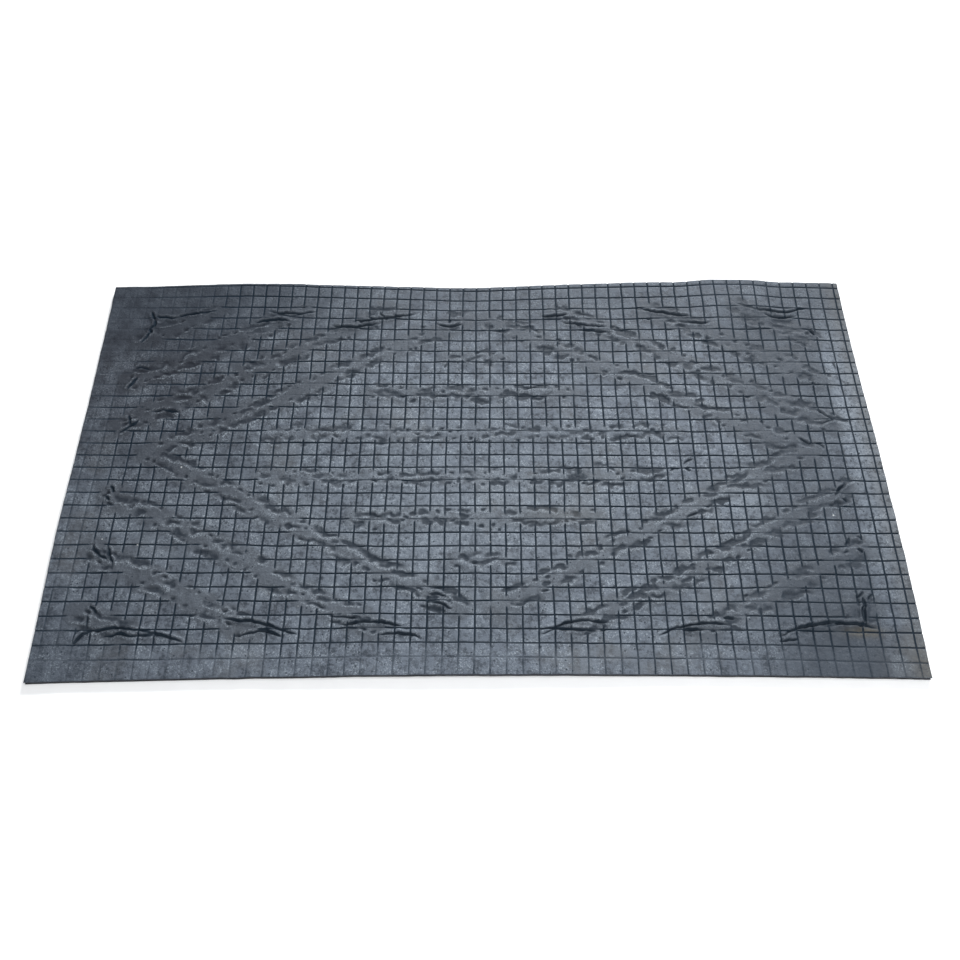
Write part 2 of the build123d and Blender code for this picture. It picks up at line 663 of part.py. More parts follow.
# Rubber hood bonded into the notch of the top sheet, open at the rear edge
with BuildPart() as cord_hood:
    with BuildSketch(Plane.XY.offset(Z_COVER)):
        with Locations((GLAND_X, (HOOD_FRONT + MAT_D / 2) / 2)):
            Rectangle(2 * HOOD_HALF, MAT_D / 2 - HOOD_FRONT)
    extrude(amount=HOOD_TOP - Z_COVER)
    hood_top = cord_hood.faces().sort_by(Axis.Z)[-1]
    hood_rims = hood_top.edges().sort_by(Axis.Y)[:-1]
    fillet(hood_rims, radius=HOOD_ROUND)
    with BuildSketch(Plane.XY.offset(Z_COVER)):
        with Locations((GLAND_X, GLAND_Y)):
            Rectangle(2 * GLAND_HALF, GLAND_D)
    extrude(amount=Z_GLAND_TOP - Z_COVER, mode=Mode.SUBTRACT)
cord_hood.part.label = "cord_hood"

# ---------------------------------------------------------------- files

for piece in (
    base_sheet, border_strip_front, border_strip_left, border_strip_right,
    border_strip_rear_long, border_strip_rear_short, top_cover,
    insulation_pad, reflector_foil, carrier_scrim, insulating_film, earth_screen,
    heater_ribbon_diamond_left, heater_ribbon_diamond_right, heater_ribbon_second,
    heater_ribbon_third, heater_ribbon_corner, heater_ribbon_bars,
    heating_wire_diamond_left, heating_wire_diamond_right, heating_wire_second,
    heating_wire_third, heating_wire_corner, heating_wire_bars,
    live_bus, live_feed, neutral_bus, border_links, bar_links,
    thermal_fuse_case, thermal_fuse_lid, splice_barrels,
    gland_lower, gland_upper, gland_screws, gland_bush, cord_hood,
):
    export_step(piece.part, "parts/" + piece.part.label + ".step")
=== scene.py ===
import json
import math

import bpy
import numpy as np
from mathutils import Euler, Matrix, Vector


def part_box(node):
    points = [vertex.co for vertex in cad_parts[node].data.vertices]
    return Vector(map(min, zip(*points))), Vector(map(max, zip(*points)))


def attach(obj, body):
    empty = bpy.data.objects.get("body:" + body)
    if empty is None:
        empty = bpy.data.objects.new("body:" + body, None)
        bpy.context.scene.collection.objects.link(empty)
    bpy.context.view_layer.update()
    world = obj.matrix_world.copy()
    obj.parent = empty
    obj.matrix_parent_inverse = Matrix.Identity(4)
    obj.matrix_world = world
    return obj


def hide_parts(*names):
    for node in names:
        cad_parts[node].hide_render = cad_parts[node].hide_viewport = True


# Seedling heat mat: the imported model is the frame, and this script gives it its looks.
# Everything is in metres in the row's frame: +X along the long side, +Y towards the cord entry.

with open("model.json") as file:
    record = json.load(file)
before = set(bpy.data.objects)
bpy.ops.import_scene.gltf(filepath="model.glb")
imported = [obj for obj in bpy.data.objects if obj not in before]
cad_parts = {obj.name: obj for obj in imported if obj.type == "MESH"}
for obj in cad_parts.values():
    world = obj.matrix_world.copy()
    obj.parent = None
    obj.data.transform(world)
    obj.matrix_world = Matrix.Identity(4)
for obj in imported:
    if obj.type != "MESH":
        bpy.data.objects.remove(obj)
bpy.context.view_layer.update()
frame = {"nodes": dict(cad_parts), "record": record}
MM = 0.001
DENT_SEED = 20
rng = np.random.default_rng(DENT_SEED)

# ------------------------------------------------------------------ camera and light

CAMERA_PLACE = (0.0, -0.738, 1.207)
CAMERA_PITCH = 59.5         # degrees below the horizon
CAMERA_YAW = 0.29           # degrees to the right of +Y
CAMERA_LENS = 38.2          # mm on a 36 mm sensor
COOL_WHITE = (0.96, 0.98, 1.0)
PLAIN_WHITE = (1.0, 1.0, 1.0)
SOFTBOXES = (               # name, place, aim, width and height, watts, colour
    ("rear_key", (0.9, 3.2, 1.75), (0.05, 0.0, 0.0), (1.5, 0.8), 200, COOL_WHITE),
    ("overhead", (0.6, -0.4, 2.6), (0.0, -0.1, 0.0), (1.6, 1.6), 44, PLAIN_WHITE),
    ("front_fill", (0.6, -3.0, 2.2), (0.0, 0.0, 0.0), (1.6, 1.6), 62, COOL_WHITE),
)
WORLD_COLOUR = (0.93, 0.96, 1.0, 1.0)
WORLD_STRENGTH = 0.3


def make_camera():
    camera = bpy.data.cameras.new("camera")
    camera.lens = CAMERA_LENS
    camera.sensor_width = 36.0
    camera.clip_start = 0.01
    holder = bpy.data.objects.new("camera", camera)
    holder.location = CAMERA_PLACE
    holder.rotation_euler = Euler((math.radians(90 - CAMERA_PITCH), 0, -math.radians(CAMERA_YAW)))
    bpy.context.scene.collection.objects.link(holder)
    bpy.context.scene.camera = holder


def make_softbox(name, place, aim, size, power, colour):
    """An area light at a place, turned to face the aim."""
    lamp = bpy.data.lights.new(name, "AREA")
    lamp.shape = "RECTANGLE"
    lamp.size = size[0]
    lamp.size_y = size[1]
    lamp.energy = power
    lamp.color = colour
    holder = bpy.data.objects.new(name, lamp)
    holder.location = place
    away = np.array(aim, float) - np.array(place, float)
    flat = math.hypot(away[0], away[1])
    holder.rotation_euler = Euler((math.atan2(flat, -away[2]), 0, math.atan2(-away[0], away[1])))
    bpy.context.scene.collection.objects.link(holder)


def make_world():
    world = bpy.data.worlds.new("studio")
    bpy.context.scene.world = world
    world.use_nodes = True
    background = world.node_tree.nodes["Background"]
    background.inputs["Color"].default_value = WORLD_COLOUR
    background.inputs["Strength"].default_value = WORLD_STRENGTH


make_camera()
for softbox in SOFTBOXES:
    make_softbox(*softbox)
make_world()
bpy.context.scene.view_settings.view_transform = "Standard"

# ------------------------------------------------------------------ sizes read from the frame

cover_low, cover_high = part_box("top_cover")
base_low, base_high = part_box("base_sheet")
hood_low, hood_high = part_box("cord_hood")
gland_low, gland_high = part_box("gland_upper")
HALF_X = cover_high[0]
HALF_Y = cover_high[1]
FIELD_X = -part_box("border_strip_left")[1][0]    # half length of the heated field
FRONT_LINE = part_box("border_strip_front")[1][1]
REAR_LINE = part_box("border_strip_rear_long")[0][1]
FIELD_Y = (REAR_LINE - FRONT_LINE) / 2          # half width of the heated field
PATTERN_Y = (REAR_LINE + FRONT_LINE) / 2        # the field sits this far towards the rear
HOOD_X = (hood_low[0] + hood_high[0]) / 2
GLAND_HALF = (gland_high[0] - gland_low[0]) / 2
Z_BASE = base_high[2]
Z_COVER = cover_low[2]
Z_BAND = cover_high[2]
RAISE = 1.2 * MM            # the bands stand this far above the skin between them
Z_SKIN = Z_BAND - RAISE

# ------------------------------------------------------------------ small numeric helpers

NOISE_CELLS = 256


def smooth(low, high, value):
    """0 up to low, 1 from high on, and a smooth step between. When low is the larger, it steps down."""
    t = np.clip((value - low) / (high - low), 0.0, 1.0)
    return t * t * (3.0 - 2.0 * t)


def noise(x, y, size, seed):
    """Smooth value noise from -1 to 1 with features of the given size. It repeats after NOISE_CELLS."""
    table = np.random.default_rng(seed).uniform(-1, 1, (NOISE_CELLS + 1, NOISE_CELLS + 1))
    u = x / size + NOISE_CELLS / 2
    v = y / size + NOISE_CELLS / 2
    iu = np.floor(u).astype(int)
    iv = np.floor(v).astype(int)
    fu = u - iu
    fv = v - iv
    fu = fu * fu * (3 - 2 * fu)
    fv = fv * fv * (3 - 2 * fv)
    iu %= NOISE_CELLS
    iv %= NOISE_CELLS
    near = table[iu, iv] * (1 - fu) + table[iu + 1, iv] * fu
    far = table[iu, iv + 1] * (1 - fu) + table[iu + 1, iv + 1] * fu
    return near * (1 - fv) + far * fv


def layered(x, y, layers, seed_shift=0):
    """The sum of noises that are given as (height, size of the features, seed)."""
    return sum(height * noise(x, y, size, seed + seed_shift) for height, size, seed in layers)


def bump(value, centre, width):
    """A bell that is 1 at the centre and near 0 at twice the width from it."""
    return np.exp(-(((value - centre) / width) ** 2))


def bump_sum(value, table):
    """The sum of bumps that are given as (height, centre, width)."""
    return sum(height * bump(value, centre, width) for height, centre, width in table)


def spots(x, y, table):
    """The sum of oval spots that are given as (strength, middle x, width in x, middle y, width in y)."""
    return sum(
        strength * bump(x, middle_x, wide_x) * bump(y, middle_y, wide_y)
        for strength, middle_x, wide_x, middle_y, wide_y in table
    )


# ------------------------------------------------------------------ how the mat lies

# how far each edge bulges out of the plain rectangle: (mm, middle, width), the last two in metres
REAR_BOW = ((3.5, -0.34, 0.13), (-4.5, -0.02, 0.09), (6.5, 0.36, 0.15))
RIGHT_BOW = ((4.6, -0.14, 0.22),)
LEFT_BOW = ((-3.6, -0.14, 0.2),)
FRONT_BOW = 7.0             # mm at the middle of one even arc
# how far each border rises off the floor, in the same form
REAR_LIFT = ((3.2, -0.33, 0.12), (2.6, 0.21, 0.09), (2.0, 0.51, 0.05))
FRONT_LIFT = ((2.4, -0.02, 0.22), (1.0, 0.42, 0.07))
LEFT_LIFT = ((1.6, -0.08, 0.09),)
RIGHT_LIFT = ((1.8, 0.05, 0.1),)
BOW_REACH_X = 0.2           # a bulge dies out this far inside the left and right edges
BOW_REACH_Y = 0.16          # and this far inside the front and rear edges
CUT_REACH = 0.01            # the unevenness of the cut dies out this far inside
CUT_UNEVEN = ((0.35, 0.03, 3), (0.25, 0.009, 4))    # mm, size of the features in metres, seed
GLAND_CLEAR_X = (0.39, 0.06)    # middle and width of the stretch by the gland that doesn't rise
GLAND_CLEAR_Y = (0.2, 0.25)     # it begins at the first y and is full at the second


def edge_push(x, y):
    """How far the outline leans out of the plain rectangle, as shifts in x and y."""
    near_rear = smooth(HALF_Y - BOW_REACH_Y, HALF_Y, y)
    near_front = smooth(-HALF_Y + BOW_REACH_Y, -HALF_Y, y)
    near_right = smooth(HALF_X - BOW_REACH_X, HALF_X, x)
    near_left = smooth(-HALF_X + BOW_REACH_X, -HALF_X, x)
    front = FRONT_BOW * (1 - (x / HALF_X) ** 2)
    shift_x = bump_sum(y, RIGHT_BOW) * near_right + bump_sum(y, LEFT_BOW) * near_left
    shift_y = bump_sum(x, REAR_BOW) * near_rear + front * near_front
    uneven = layered(x, y, CUT_UNEVEN)
    cut_right = smooth(HALF_X - CUT_REACH, HALF_X, x)
    cut_left = smooth(-HALF_X + CUT_REACH, -HALF_X, x)
    cut_rear = smooth(HALF_Y - CUT_REACH, HALF_Y, y)
    cut_front = smooth(-HALF_Y + CUT_REACH, -HALF_Y, y)
    shift_x = shift_x + uneven * (cut_right - cut_left)
    shift_y = shift_y + uneven * (cut_rear - cut_front)
    return shift_x * MM, shift_y * MM


def edge_lift(x, y):
    """How far the rubber border stands off the floor. The heated field lies flat."""
    rear = smooth(FIELD_Y, HALF_Y, y)
    front = smooth(-FIELD_Y, -HALF_Y, y)
    left = smooth(-FIELD_X, -HALF_X, x)
    right = smooth(FIELD_X, HALF_X, x)
    lift = (
        rear * bump_sum(x, REAR_LIFT) + front * bump_sum(x, FRONT_LIFT)
        + left * bump_sum(y, LEFT_LIFT) + right * bump_sum(y, RIGHT_LIFT)
    )
    clear_of_gland = 1 - bump(x, *GLAND_CLEAR_X) * smooth(*GLAND_CLEAR_Y, y)
    return lift * clear_of_gland * MM


def lay(x, y, z):
    """A point of the flat mat, moved to where the mat really lies."""
    shift_x, shift_y = edge_push(x, y)
    return x + shift_x, y + shift_y, z + edge_lift(x, y)


# ------------------------------------------------------------------ heater pattern under the skin

RINGS = 4
RING_MIDDLE = PATTERN_Y + 4 * MM    # y of the left and right corners of the rings
RING_SLOPE = 0.547                  # rise of a ring's arm for each metre along X
RING_REAR = (250 * MM, 74 * MM)     # depth of the smallest ring behind its middle, and each step
RING_FRONT = (244 * MM, 88 * MM)    # the same in front of its middle
GAP_X = 22 * MM                     # an arm stops this far from the centre line
BAND_HALF = 21 * MM
BAR_HALF = 16 * MM
BARS = (                    # y in mm, left and right ends in mm, how dark it has gone
    (114, -149, 139, 0.9), (45, -291, 277, 0.45), (-27, -298, 250, 0.65), (-90, -167, 156, 0.9),
    (177, -42, 35, 0.7), (-153, -28, 35, 0.6),
)


def ring_arms():
    """Centre lines of the straight band pieces: start, end, half width, darkness."""
    arms = []
    for ring in range(RINGS):
        for side_y, (first, step), edge in ((1, RING_REAR, REAR_LINE), (-1, RING_FRONT, FRONT_LINE)):
            half_y = first + ring * step
            half_x = half_y / RING_SLOPE
            from_x = min(half_x, FIELD_X)
            from_y = half_y - RING_SLOPE * from_x
            to_y = min(half_y - RING_SLOPE * GAP_X, abs(edge - RING_MIDDLE) - 2 * MM)
            to_x = half_x - to_y / RING_SLOPE
            for side_x in (-1, 1):
                arms.append((
                    (side_x * from_x, side_y * from_y + RING_MIDDLE),
                    (side_x * to_x, side_y * to_y + RING_MIDDLE), BAND_HALF, 1.0,
                ))
    return arms


def bar_lines():
    """Centre lines of the straight bars inside the smallest ring, in the same form."""
    return [
        ((left * MM, depth * MM), (right * MM, depth * MM), BAR_HALF, dark)
        for depth, left, right, dark in BARS
    ]


LINES = ring_arms() + bar_lines()
FAR_AWAY = 9.0              # a share that is beyond every band
WIDER_BANDS = ((0.5, 0.435, 0.055, 0.085, 0.11),)   # a spot where the bands spread, at the right


def along_and_across(x, y, start, end):
    """Distance along a line and signed distance from it."""
    length = math.dist(start, end)
    ux = (end[0] - start[0]) / length
    uy = (end[1] - start[1]) / length
    along = (x - start[0]) * ux + (y - start[1]) * uy
    across = (x - start[0]) * -uy + (y - start[1]) * ux
    return along, across, length


def band_fields(x, y, ragged):
    """Distance to the nearest band's middle as a share of its half width, and how dark it is."""
    near = np.full_like(x, FAR_AWAY)
    dark = np.zeros_like(x)
    right_end = spots(x, y, WIDER_BANDS)
    for start, end, half, tone in LINES:
        along, across, length = along_and_across(x, y, start, end)
        beyond = np.maximum(np.maximum(-along, along - length), 0)
        share = np.hypot(beyond, across) / half + ragged - right_end
        near = np.minimum(near, share)
        dark = np.maximum(dark, tone * (1 - smooth(0.7, 1.25, share)))
    return near, dark


def window(x, y, cx, cy, reach):
    """Index ranges of the grid around a point, or None when it is off the mat."""
    columns = np.nonzero(np.abs(x[x.shape[0] // 2] - cx) < reach)[0]
    rows = np.nonzero(np.abs(y[:, y.shape[1] // 2] - cy) < reach + 5 * MM)[0]
    if len(columns) == 0 or len(rows) == 0:
        return None, None
    return slice(rows[0], rows[-1] + 1), slice(columns[0], columns[-1] + 1)


# ------------------------------------------------------------------ dents along the ribbons

DENT_STEP = 7.6 * MM        # distance along a band from one dent to the next
DENT_SIDE = 10 * MM         # how far they lie to each side of a band's middle, by turns
DENT_WANDER = 4 * MM
DENT_MISSING = 0.1          # share that is left out
DENT_SMALL = 0.4            # share that is small
SMALL_DENT = ((1.2, 2.4), (2.4, 4.8), (2.0, 3.2))   # ranges of depth, half length, half width in mm
LONG_DENT = ((0.9, 2.3), (6.5, 15.0), (3.0, 5.4))
DENT_WARP_LONG = ((0.45, 0.007, 54),)   # what bends a dent's outline: height, size, seed
DENT_WARP_WIDE = ((0.8, 0.007, 55),)
DENT_LIP = 0.38             # height of the raised lip as a share of the depth
LIP_LIGHT_REAR = 0.14        # how much the lips are made lighter, by place: partly scuffing, partly painted highlight
LIP_LIGHT_FRONT = 0.32
LIP_LIGHT_LEFT = 0.22        # added on the left
LEFT_OF_MIDDLE = (-0.02, -0.25)     # the left half begins at the first x and is full at the second


def add_dents(x, y, height, dent, scuffs_and_highlight):
    """Rows of long dents where the zigzag wire pulls the skin down, lying mostly along X."""
    for start, end, half, tone in LINES:
        length = math.dist(start, end)
        ux = (end[0] - start[0]) / length
        uy = (end[1] - start[1]) / length
        lean = math.atan2(uy * math.copysign(1, ux), abs(ux))
        for i in range(int(length / DENT_STEP) + 1):
            side = 1 if i % 2 else -1
            along = i * DENT_STEP + rng.normal(0, DENT_WANDER)
            across = side * DENT_SIDE * half / BAND_HALF + rng.normal(0, DENT_WANDER)
            ranges = SMALL_DENT if rng.random() < DENT_SMALL else LONG_DENT
            deep, long_half, wide_half = [rng.uniform(least, most) * MM for least, most in ranges]
            turn = lean * rng.uniform(0.15, 0.75) + rng.normal(0, 0.14)
            strong = rng.uniform(0.6, 1.0)
            if rng.random() < DENT_MISSING:
                continue
            cx = start[0] + ux * along - uy * across
            cy = start[1] + uy * along + ux * across
            rows, columns = window(x, y, cx, cy, 2.2 * long_half + 8 * MM)
            if rows is None:
                continue
            px = x[rows, columns] - cx
            py = y[rows, columns] - cy
            a = (px * math.cos(turn) + py * math.sin(turn)) / long_half
            b = (-px * math.sin(turn) + py * math.cos(turn)) / wide_half
            a = a + layered(px + cx, py + cy, DENT_WARP_LONG)
            b = b + layered(px + cx, py + cy, DENT_WARP_WIDE)
            pit = np.exp(-(np.abs(a) ** 2.6 + np.abs(b) ** 2.8))
            lip = np.exp(-(a * a * 0.8 + (b + 1.55) ** 2 * 3.0))
            height[rows, columns] += -deep * pit + DENT_LIP * deep * lip
            on_left = smooth(*LEFT_OF_MIDDLE, cx)
            # painted shade darkens each dent; its lip is made lighter, partly scuffing and partly
            # painted highlight
            dark = strong * min(1.0, 0.5 + deep / (2 * MM)) * (0.5 + 0.5 * tone)
            painted_shade = pit * dark * (1 - 0.3 * on_left)
            dent[rows, columns] = np.maximum(dent[rows, columns], painted_shade)
            rubbed_and_highlight = (LIP_LIGHT_FRONT if cy < 0 else LIP_LIGHT_REAR) + LIP_LIGHT_LEFT * on_left
            scuffs_and_highlight[rows, columns] += rubbed_and_highlight * lip * min(1.0, deep / MM)


# ------------------------------------------------------------------ creases at the ribbon ends

# Deep folds of the skin: start x, start y, end x, end y, bow to the left of that way, all in mm,
# and strength
FOLDS = (
    # rear right
    (97, 256, 138, 256, -2, 1.0), (126, 244, 196, 234, -3, 0.9), (147, 230, 206, 223, -2, 0.7),
    (238, 267, 324, 249, -2, 1.0), (300, 244, 352, 239, -6, 1.0), (283, 248, 299, 238, 0, 0.5),
    (384, 277, 502, 269, -15, 1.0), (432, 252, 484, 253, -6, 0.9), (496, 226, 503, 213, 0, 0.9),
    (521, 170, 524, 152, 1, 0.5), (447, 36, 463, 24, 0, 0.7), (468, 27, 482, 15, 1, 0.6),
    (480, 82, 503, 60, 2, 0.6), (483, 58, 504, 66, 0, 0.5),
    # rear left
    (-492, 267, -484, 250, 0, 0.9), (-486, 258, -450, 255, -3, 1.0), (-452, 254, -390, 264, 2, 0.9),
    (-484, 251, -491, 231, 3, 1.0), (-491, 234, -483, 224, 0, 0.9), (-483, 226, -499, 205, -2, 1.0),
    (-317, 265, -242, 263, -5, 0.9), (-334, 241, -278, 246, 2, 1.0), (-300, 258, -262, 257, -2, 0.6),
    (-188, 245, -90, 264, -4, 1.0), (-147, 265, -137, 253, -3, 0.9), (-218, 237, -142, 243, -5, 0.9),
    (-60, 240, -20, 243, -5, 0.9), (-504, 120, -490, 144, 2, 1.0), (-500, 161, -474, 156, 2, 0.7),
    (-504, 47, -478, 71, -3, 0.9), (-492, 79, -488, 60, 0, 0.7), (-465, 83, -420, 82, 3, 0.7),
    # front left
    (-504, -269, -484, -250, 3, 1.0), (-486, -251, -427, -252, 3, 0.9), (-430, -251, -366, -269, 2, 1.0),
    (-476, -260, -392, -262, 4, 0.8), (-498, -37, -490, -49, 0, 1.0), (-502, -54, -495, -62, 0, 0.8),
    (-504, -126, -480, -152, -3, 1.0), (-486, -131, -473, -161, 2, 0.9),
    (-492, -214, -481, -225, 0, 0.9),
    (-493, -227, -492, -247, 1, 0.6), (-326, -236, -222, -261, 4, 1.0), (-303, -260, -242, -265, 7, 1.0),
    (-179, -248, -92, -250, 6, 1.0), (-126, -261, -68, -268, 6, 1.0), (-190, -235, -144, -243, 2, 0.6),
    (-70, -212, -31, -225, 2, 0.9), (-66, -202, -36, -209, 2, 0.6),
    # front right
    (75, -258, 171, -245, 7, 1.0), (75, -262, 153, -260, 7, 0.8), (224, -264, 324, -249, 10, 1.0),
    (256, -257, 286, -256, 1, 0.9), (309, -239, 325, -240, 0, 0.9), (374, -266, 505, -252, 13, 1.3),
    (376, -270, 402, -267, 1, 0.7), (484, -252, 488, -208, -2, 1.5), (480, -209, 492, -200, 0, 1.1),
    (479, -59, 500, -39, -1, 0.9), (428, -251, 462, -248, 2, 0.6), (484, -133, 489, -122, 0, 1.1),
    (496, -120, 503, -127, 1, 0.7), (494, -139, 501, -146, 0, 0.8), (476, -146, 485, -143, 0, 0.6),
    (488, -63, 495, -70, 0, 0.8), (283, -9, 300, 0, 2, 0.7), (263, -18, 280, -15, 1, 0.6),
    (285, -14, 292, -20, 0, 0.7), (278, -92, 299, -85, 2, 0.9), (496, -212, 503, -203, 1, 0.8),
)
FOLD_WOBBLE = ((1.5, 0.014, 300), (0.8, 0.0045, 400))   # mm, size, seed of the first fold
FOLD_FADING = ((0.3, 0.010, 500),)
FOLD_WIDE = 1.9 * MM        # width of the slit
FOLD_CUT = 2.9 * MM         # depth of the slit before the limit below
FOLD_RIDGE = 2.4 * MM       # height of the puffed skin beside it
RIDGE_LEFT = (3.4 * MM, 2.3 * MM)   # where each ridge stands across the fold, and its width
RIDGE_RIGHT = (-3.6 * MM, 2.5 * MM)
FOLD_SHADE = (-1.5 * MM, 5 * MM)     # where painted shade lies across the fold, and its width
SLIT_FLOOR = -1.4 * MM      # no fold cuts deeper than this below the skin


def add_folds(x, y, height, slit, dent):
    """Sharp folds: a slit with a puffed ridge on both sides, and painted shade in the slit and beside
    it.
    """
    for number, (x0, y0, x1, y1, bow, strength) in enumerate(FOLDS):
        half = math.hypot(x1 - x0, y1 - y0) / 2 * MM
        cx = (x0 + x1) / 2 * MM
        cy = (y0 + y1) / 2 * MM
        ca = (x1 - x0) * MM / (2 * half)
        sa = (y1 - y0) * MM / (2 * half)
        rows, columns = window(x, y, cx, cy, half + 14 * MM)
        if rows is None:
            continue
        px = x[rows, columns] - cx
        py = y[rows, columns] - cy
        t = (px * ca + py * sa) / half
        q = -px * sa + py * ca
        run = t * half
        level = np.zeros_like(run)
        wobble = layered(run, level, FOLD_WOBBLE, number)
        q = q - (bow * (1 - t * t) + wobble) * MM
        fade = np.clip(1.04 - np.abs(t) ** 3, 0, 1) * strength
        fade = fade * (0.85 + layered(run, level, FOLD_FADING, number))
        cut = bump(q, 0, FOLD_WIDE * (0.55 + 0.5 * fade))
        ridge = bump(q, *RIDGE_LEFT) + 0.8 * bump(q, *RIDGE_RIGHT)
        height[rows, columns] += fade * (FOLD_RIDGE * ridge - FOLD_CUT * cut)
        # painted shade in the slit and beside it
        line = np.clip(fade * 1.15, 0, 1) * cut
        slit[rows, columns] = np.maximum(slit[rows, columns], line)
        painted_shade = 0.5 * fade * bump(q, *FOLD_SHADE)
        dent[rows, columns] = np.maximum(dent[rows, columns], painted_shade)


# ------------------------------------------------------------------ the grooved top skin

GRID = 20.15 * MM           # mean pitch of the grooves along X
GRID_SQUASH = 0.9955        # the pitch along Y as a share of it
GROOVES_X = 55
GROOVES_Y = 31
GRID_GROWTH = 0.034         # the pitch along X grows this much from left to right
GRID_TURN = 0.0072          # the grid is turned this much against the cut edges
FIRST_X = 13 * MM           # first groove from the left edge
FIRST_Y = 7 * MM            # first groove from the rear edge
GROOVE_TOP = 1.35 * MM      # half width at the surface
GROOVE_FLOOR = 0.9 * MM     # half width at the bottom
GROOVE_DEEP = 1.1 * MM
PART_X = 2.0 * MM           # mesh size along X
PART_Y = 1.6 * MM           # mesh size along Y
PART_FOLD = 1.2 * MM        # mesh size where the folds are, both ways
EDGE_IN = 0.6 * MM          # the rounded rim starts this far inside the cut edge
CUT_SIDE_DARK = 0.75        # how dark the rim and cut sides of the skin are: painted shade
UNDER_STEP = 11             # the underside has one mesh cell for this many above
RIM_STEPS = (               # rings of the rim: mm outwards, measured from which face, mm above it
    (0.42, "top", -0.18), (0.6, "top", -0.6), (0.55, "under", 0.3), (0.1, "under", 0.0),
)
# noises: height, size of the features in metres, seed. The waves and the roll are in mm
WAVE_X = ((1.0, 0.12, 21), (0.45, 0.045, 22), (0.3, 0.009, 25))
WAVE_Y = ((1.0, 0.12, 23), (0.45, 0.045, 24), (0.3, 0.009, 26))
SKIN_ROLL = ((0.30, 0.07, 41), (0.16, 0.02, 42))
BAND_RAGGED = ((0.22, 0.03, 11), (0.2, 0.012, 12))
GROOVE_TORN = ((0.22, 0.007, 13),)
GROOVE_FADING = ((0.3, 0.035, 31),)
BAND_SWELL = 0.85 * RAISE   # height of the bands over the skin, in the mesh
FIELD_SWELL = 0.5 * MM      # height of the heated field over the border
TILE_SWELL = 0.09 * MM      # typical difference in height from tile to tile
TILE_TABLE = 80             # the differences repeat after this many tiles
TILE_SEED = 7
SOFT_STEPS = 14             # reach in mesh cells of the blur that relief is measured against
RELIEF_FULL = 0.5 * MM      # this far above the blurred height counts as full relief
COVER_GAP = 0.15 * MM       # between the gland and the skin over it
DOME_RISE = 0.9 * MM        # the skin over the gland stands this far above it


def cut_line(first, last, lines, part, is_fine):
    """Mesh stations along one direction: dense at each groove and even between them."""
    stations = [first + EDGE_IN]
    ends = [line - GROOVE_TOP for line in lines] + [last - EDGE_IN]
    for number, finish in enumerate(ends):
        begin = stations[-1]
        size = PART_FOLD if is_fine((begin + finish) / 2) else part
        parts = max(2, round((finish - begin) / size))
        stations += [begin + (finish - begin) * k / parts for k in range(1, parts + 1)]
        if number < len(lines):
            line = lines[number]
            stations += [line - GROOVE_FLOOR, line + GROOVE_FLOOR, line + GROOVE_TOP]
    return np.array(stations)


def fine_x(place):
    """Whether the folds at the left and right ends cross this x."""
    return FIELD_X - 32 * MM < abs(place) < FIELD_X + 8 * MM


def fine_y(place):
    """Whether the folds at the front and rear cross this y."""
    return FIELD_Y - 58 * MM < abs(place - PATTERN_Y) < FIELD_Y + 12 * MM


def groove_lines():
    """Where the grooves lie: x of the ones along Y, then y of the ones along X."""
    step = GRID * (1 + GRID_GROWTH * (np.arange(GROOVES_X - 1) / GROOVES_X - 0.5))
    across = -HALF_X + FIRST_X + np.concatenate([[0], np.cumsum(step)])
    across = across[across < HALF_X - 5 * MM]
    depth = HALF_Y - FIRST_Y - GRID * GRID_SQUASH * np.arange(GROOVES_Y)
    return across, depth[::-1]


def nearest_line(stations, lines):
    """For each mesh station, the distance to the nearest groove and that groove's number."""
    gaps = np.abs(stations[:, None] - lines[None, :])
    return gaps.min(axis=1), gaps.argmin(axis=1)


def blur(field, steps):
    """Average each point with its neighbours, a number of times over."""
    for _ in range(steps):
        padded = np.pad(field, 1, mode="edge")
        field = (
            padded[:-2, 1:-1] + padded[2:, 1:-1] + padded[1:-1, :-2] + padded[1:-1, 2:]
            + 2 * padded[1:-1, 1:-1]
        ) / 6
    return field


# ------------------------------------------------------------------ masks of earth, scuffing, painted shade and painted highlight

# oval spots: strength, then middle and width in x, middle and width in y
EARTH_SPOTS = ((1.0, 0.484, 0.024, -0.257, 0.007), (0.3, 0.112, 0.045, -0.085, 0.012))
FROST_SPOTS = ((0.42, -0.04, 0.27, -0.09, 0.11), (0.9, 0.37, 0.035, -0.07, 0.03))


def settled_earth(x, y):
    """Where earth has settled: by the near right folds, on one bar and along the right edge."""
    at_edge = 0.4 * smooth(0.522, 0.552, x) + 0.35 * smooth(0.47, 0.55, x) * smooth(-0.24, -0.30, y)
    return np.clip(spots(x, y, EARTH_SPOTS) + at_edge, 0, 1)


def shade_and_darkening(x, y):
    """Where the skin is darker: the right ribbon ends and the near corners, and painted shade at the
    rear.
    """
    ends = 0.5 * smooth(0.33, 0.42, x) * (1 - smooth(0.498, 0.512, x)) * smooth(0.29, 0.22, y)
    right_corner = 0.42 * smooth(0.12, 0.5, x) * smooth(-0.10, -0.29, y)
    left_corner = 0.35 * smooth(-0.40, -0.54, x) * smooth(-0.16, -0.29, y)
    # painted shade: the rear is darker
    rear = 0.47 * smooth(0.13, 0.29, y) + 0.25 * smooth(0.42, 0.54, x) * smooth(0.2, 0.3, y)
    return np.clip(ends + right_corner + left_corner + rear, 0, 1)


def frost(x, y):
    """Where the tiles are scuffed lightest: the middle, one patch, and the right margin."""
    margin = 0.6 * smooth(0.506, 0.516, x) * bump(y, 0.06, 0.2)
    return np.clip(spots(x, y, FROST_SPOTS) + margin, 0, 1)


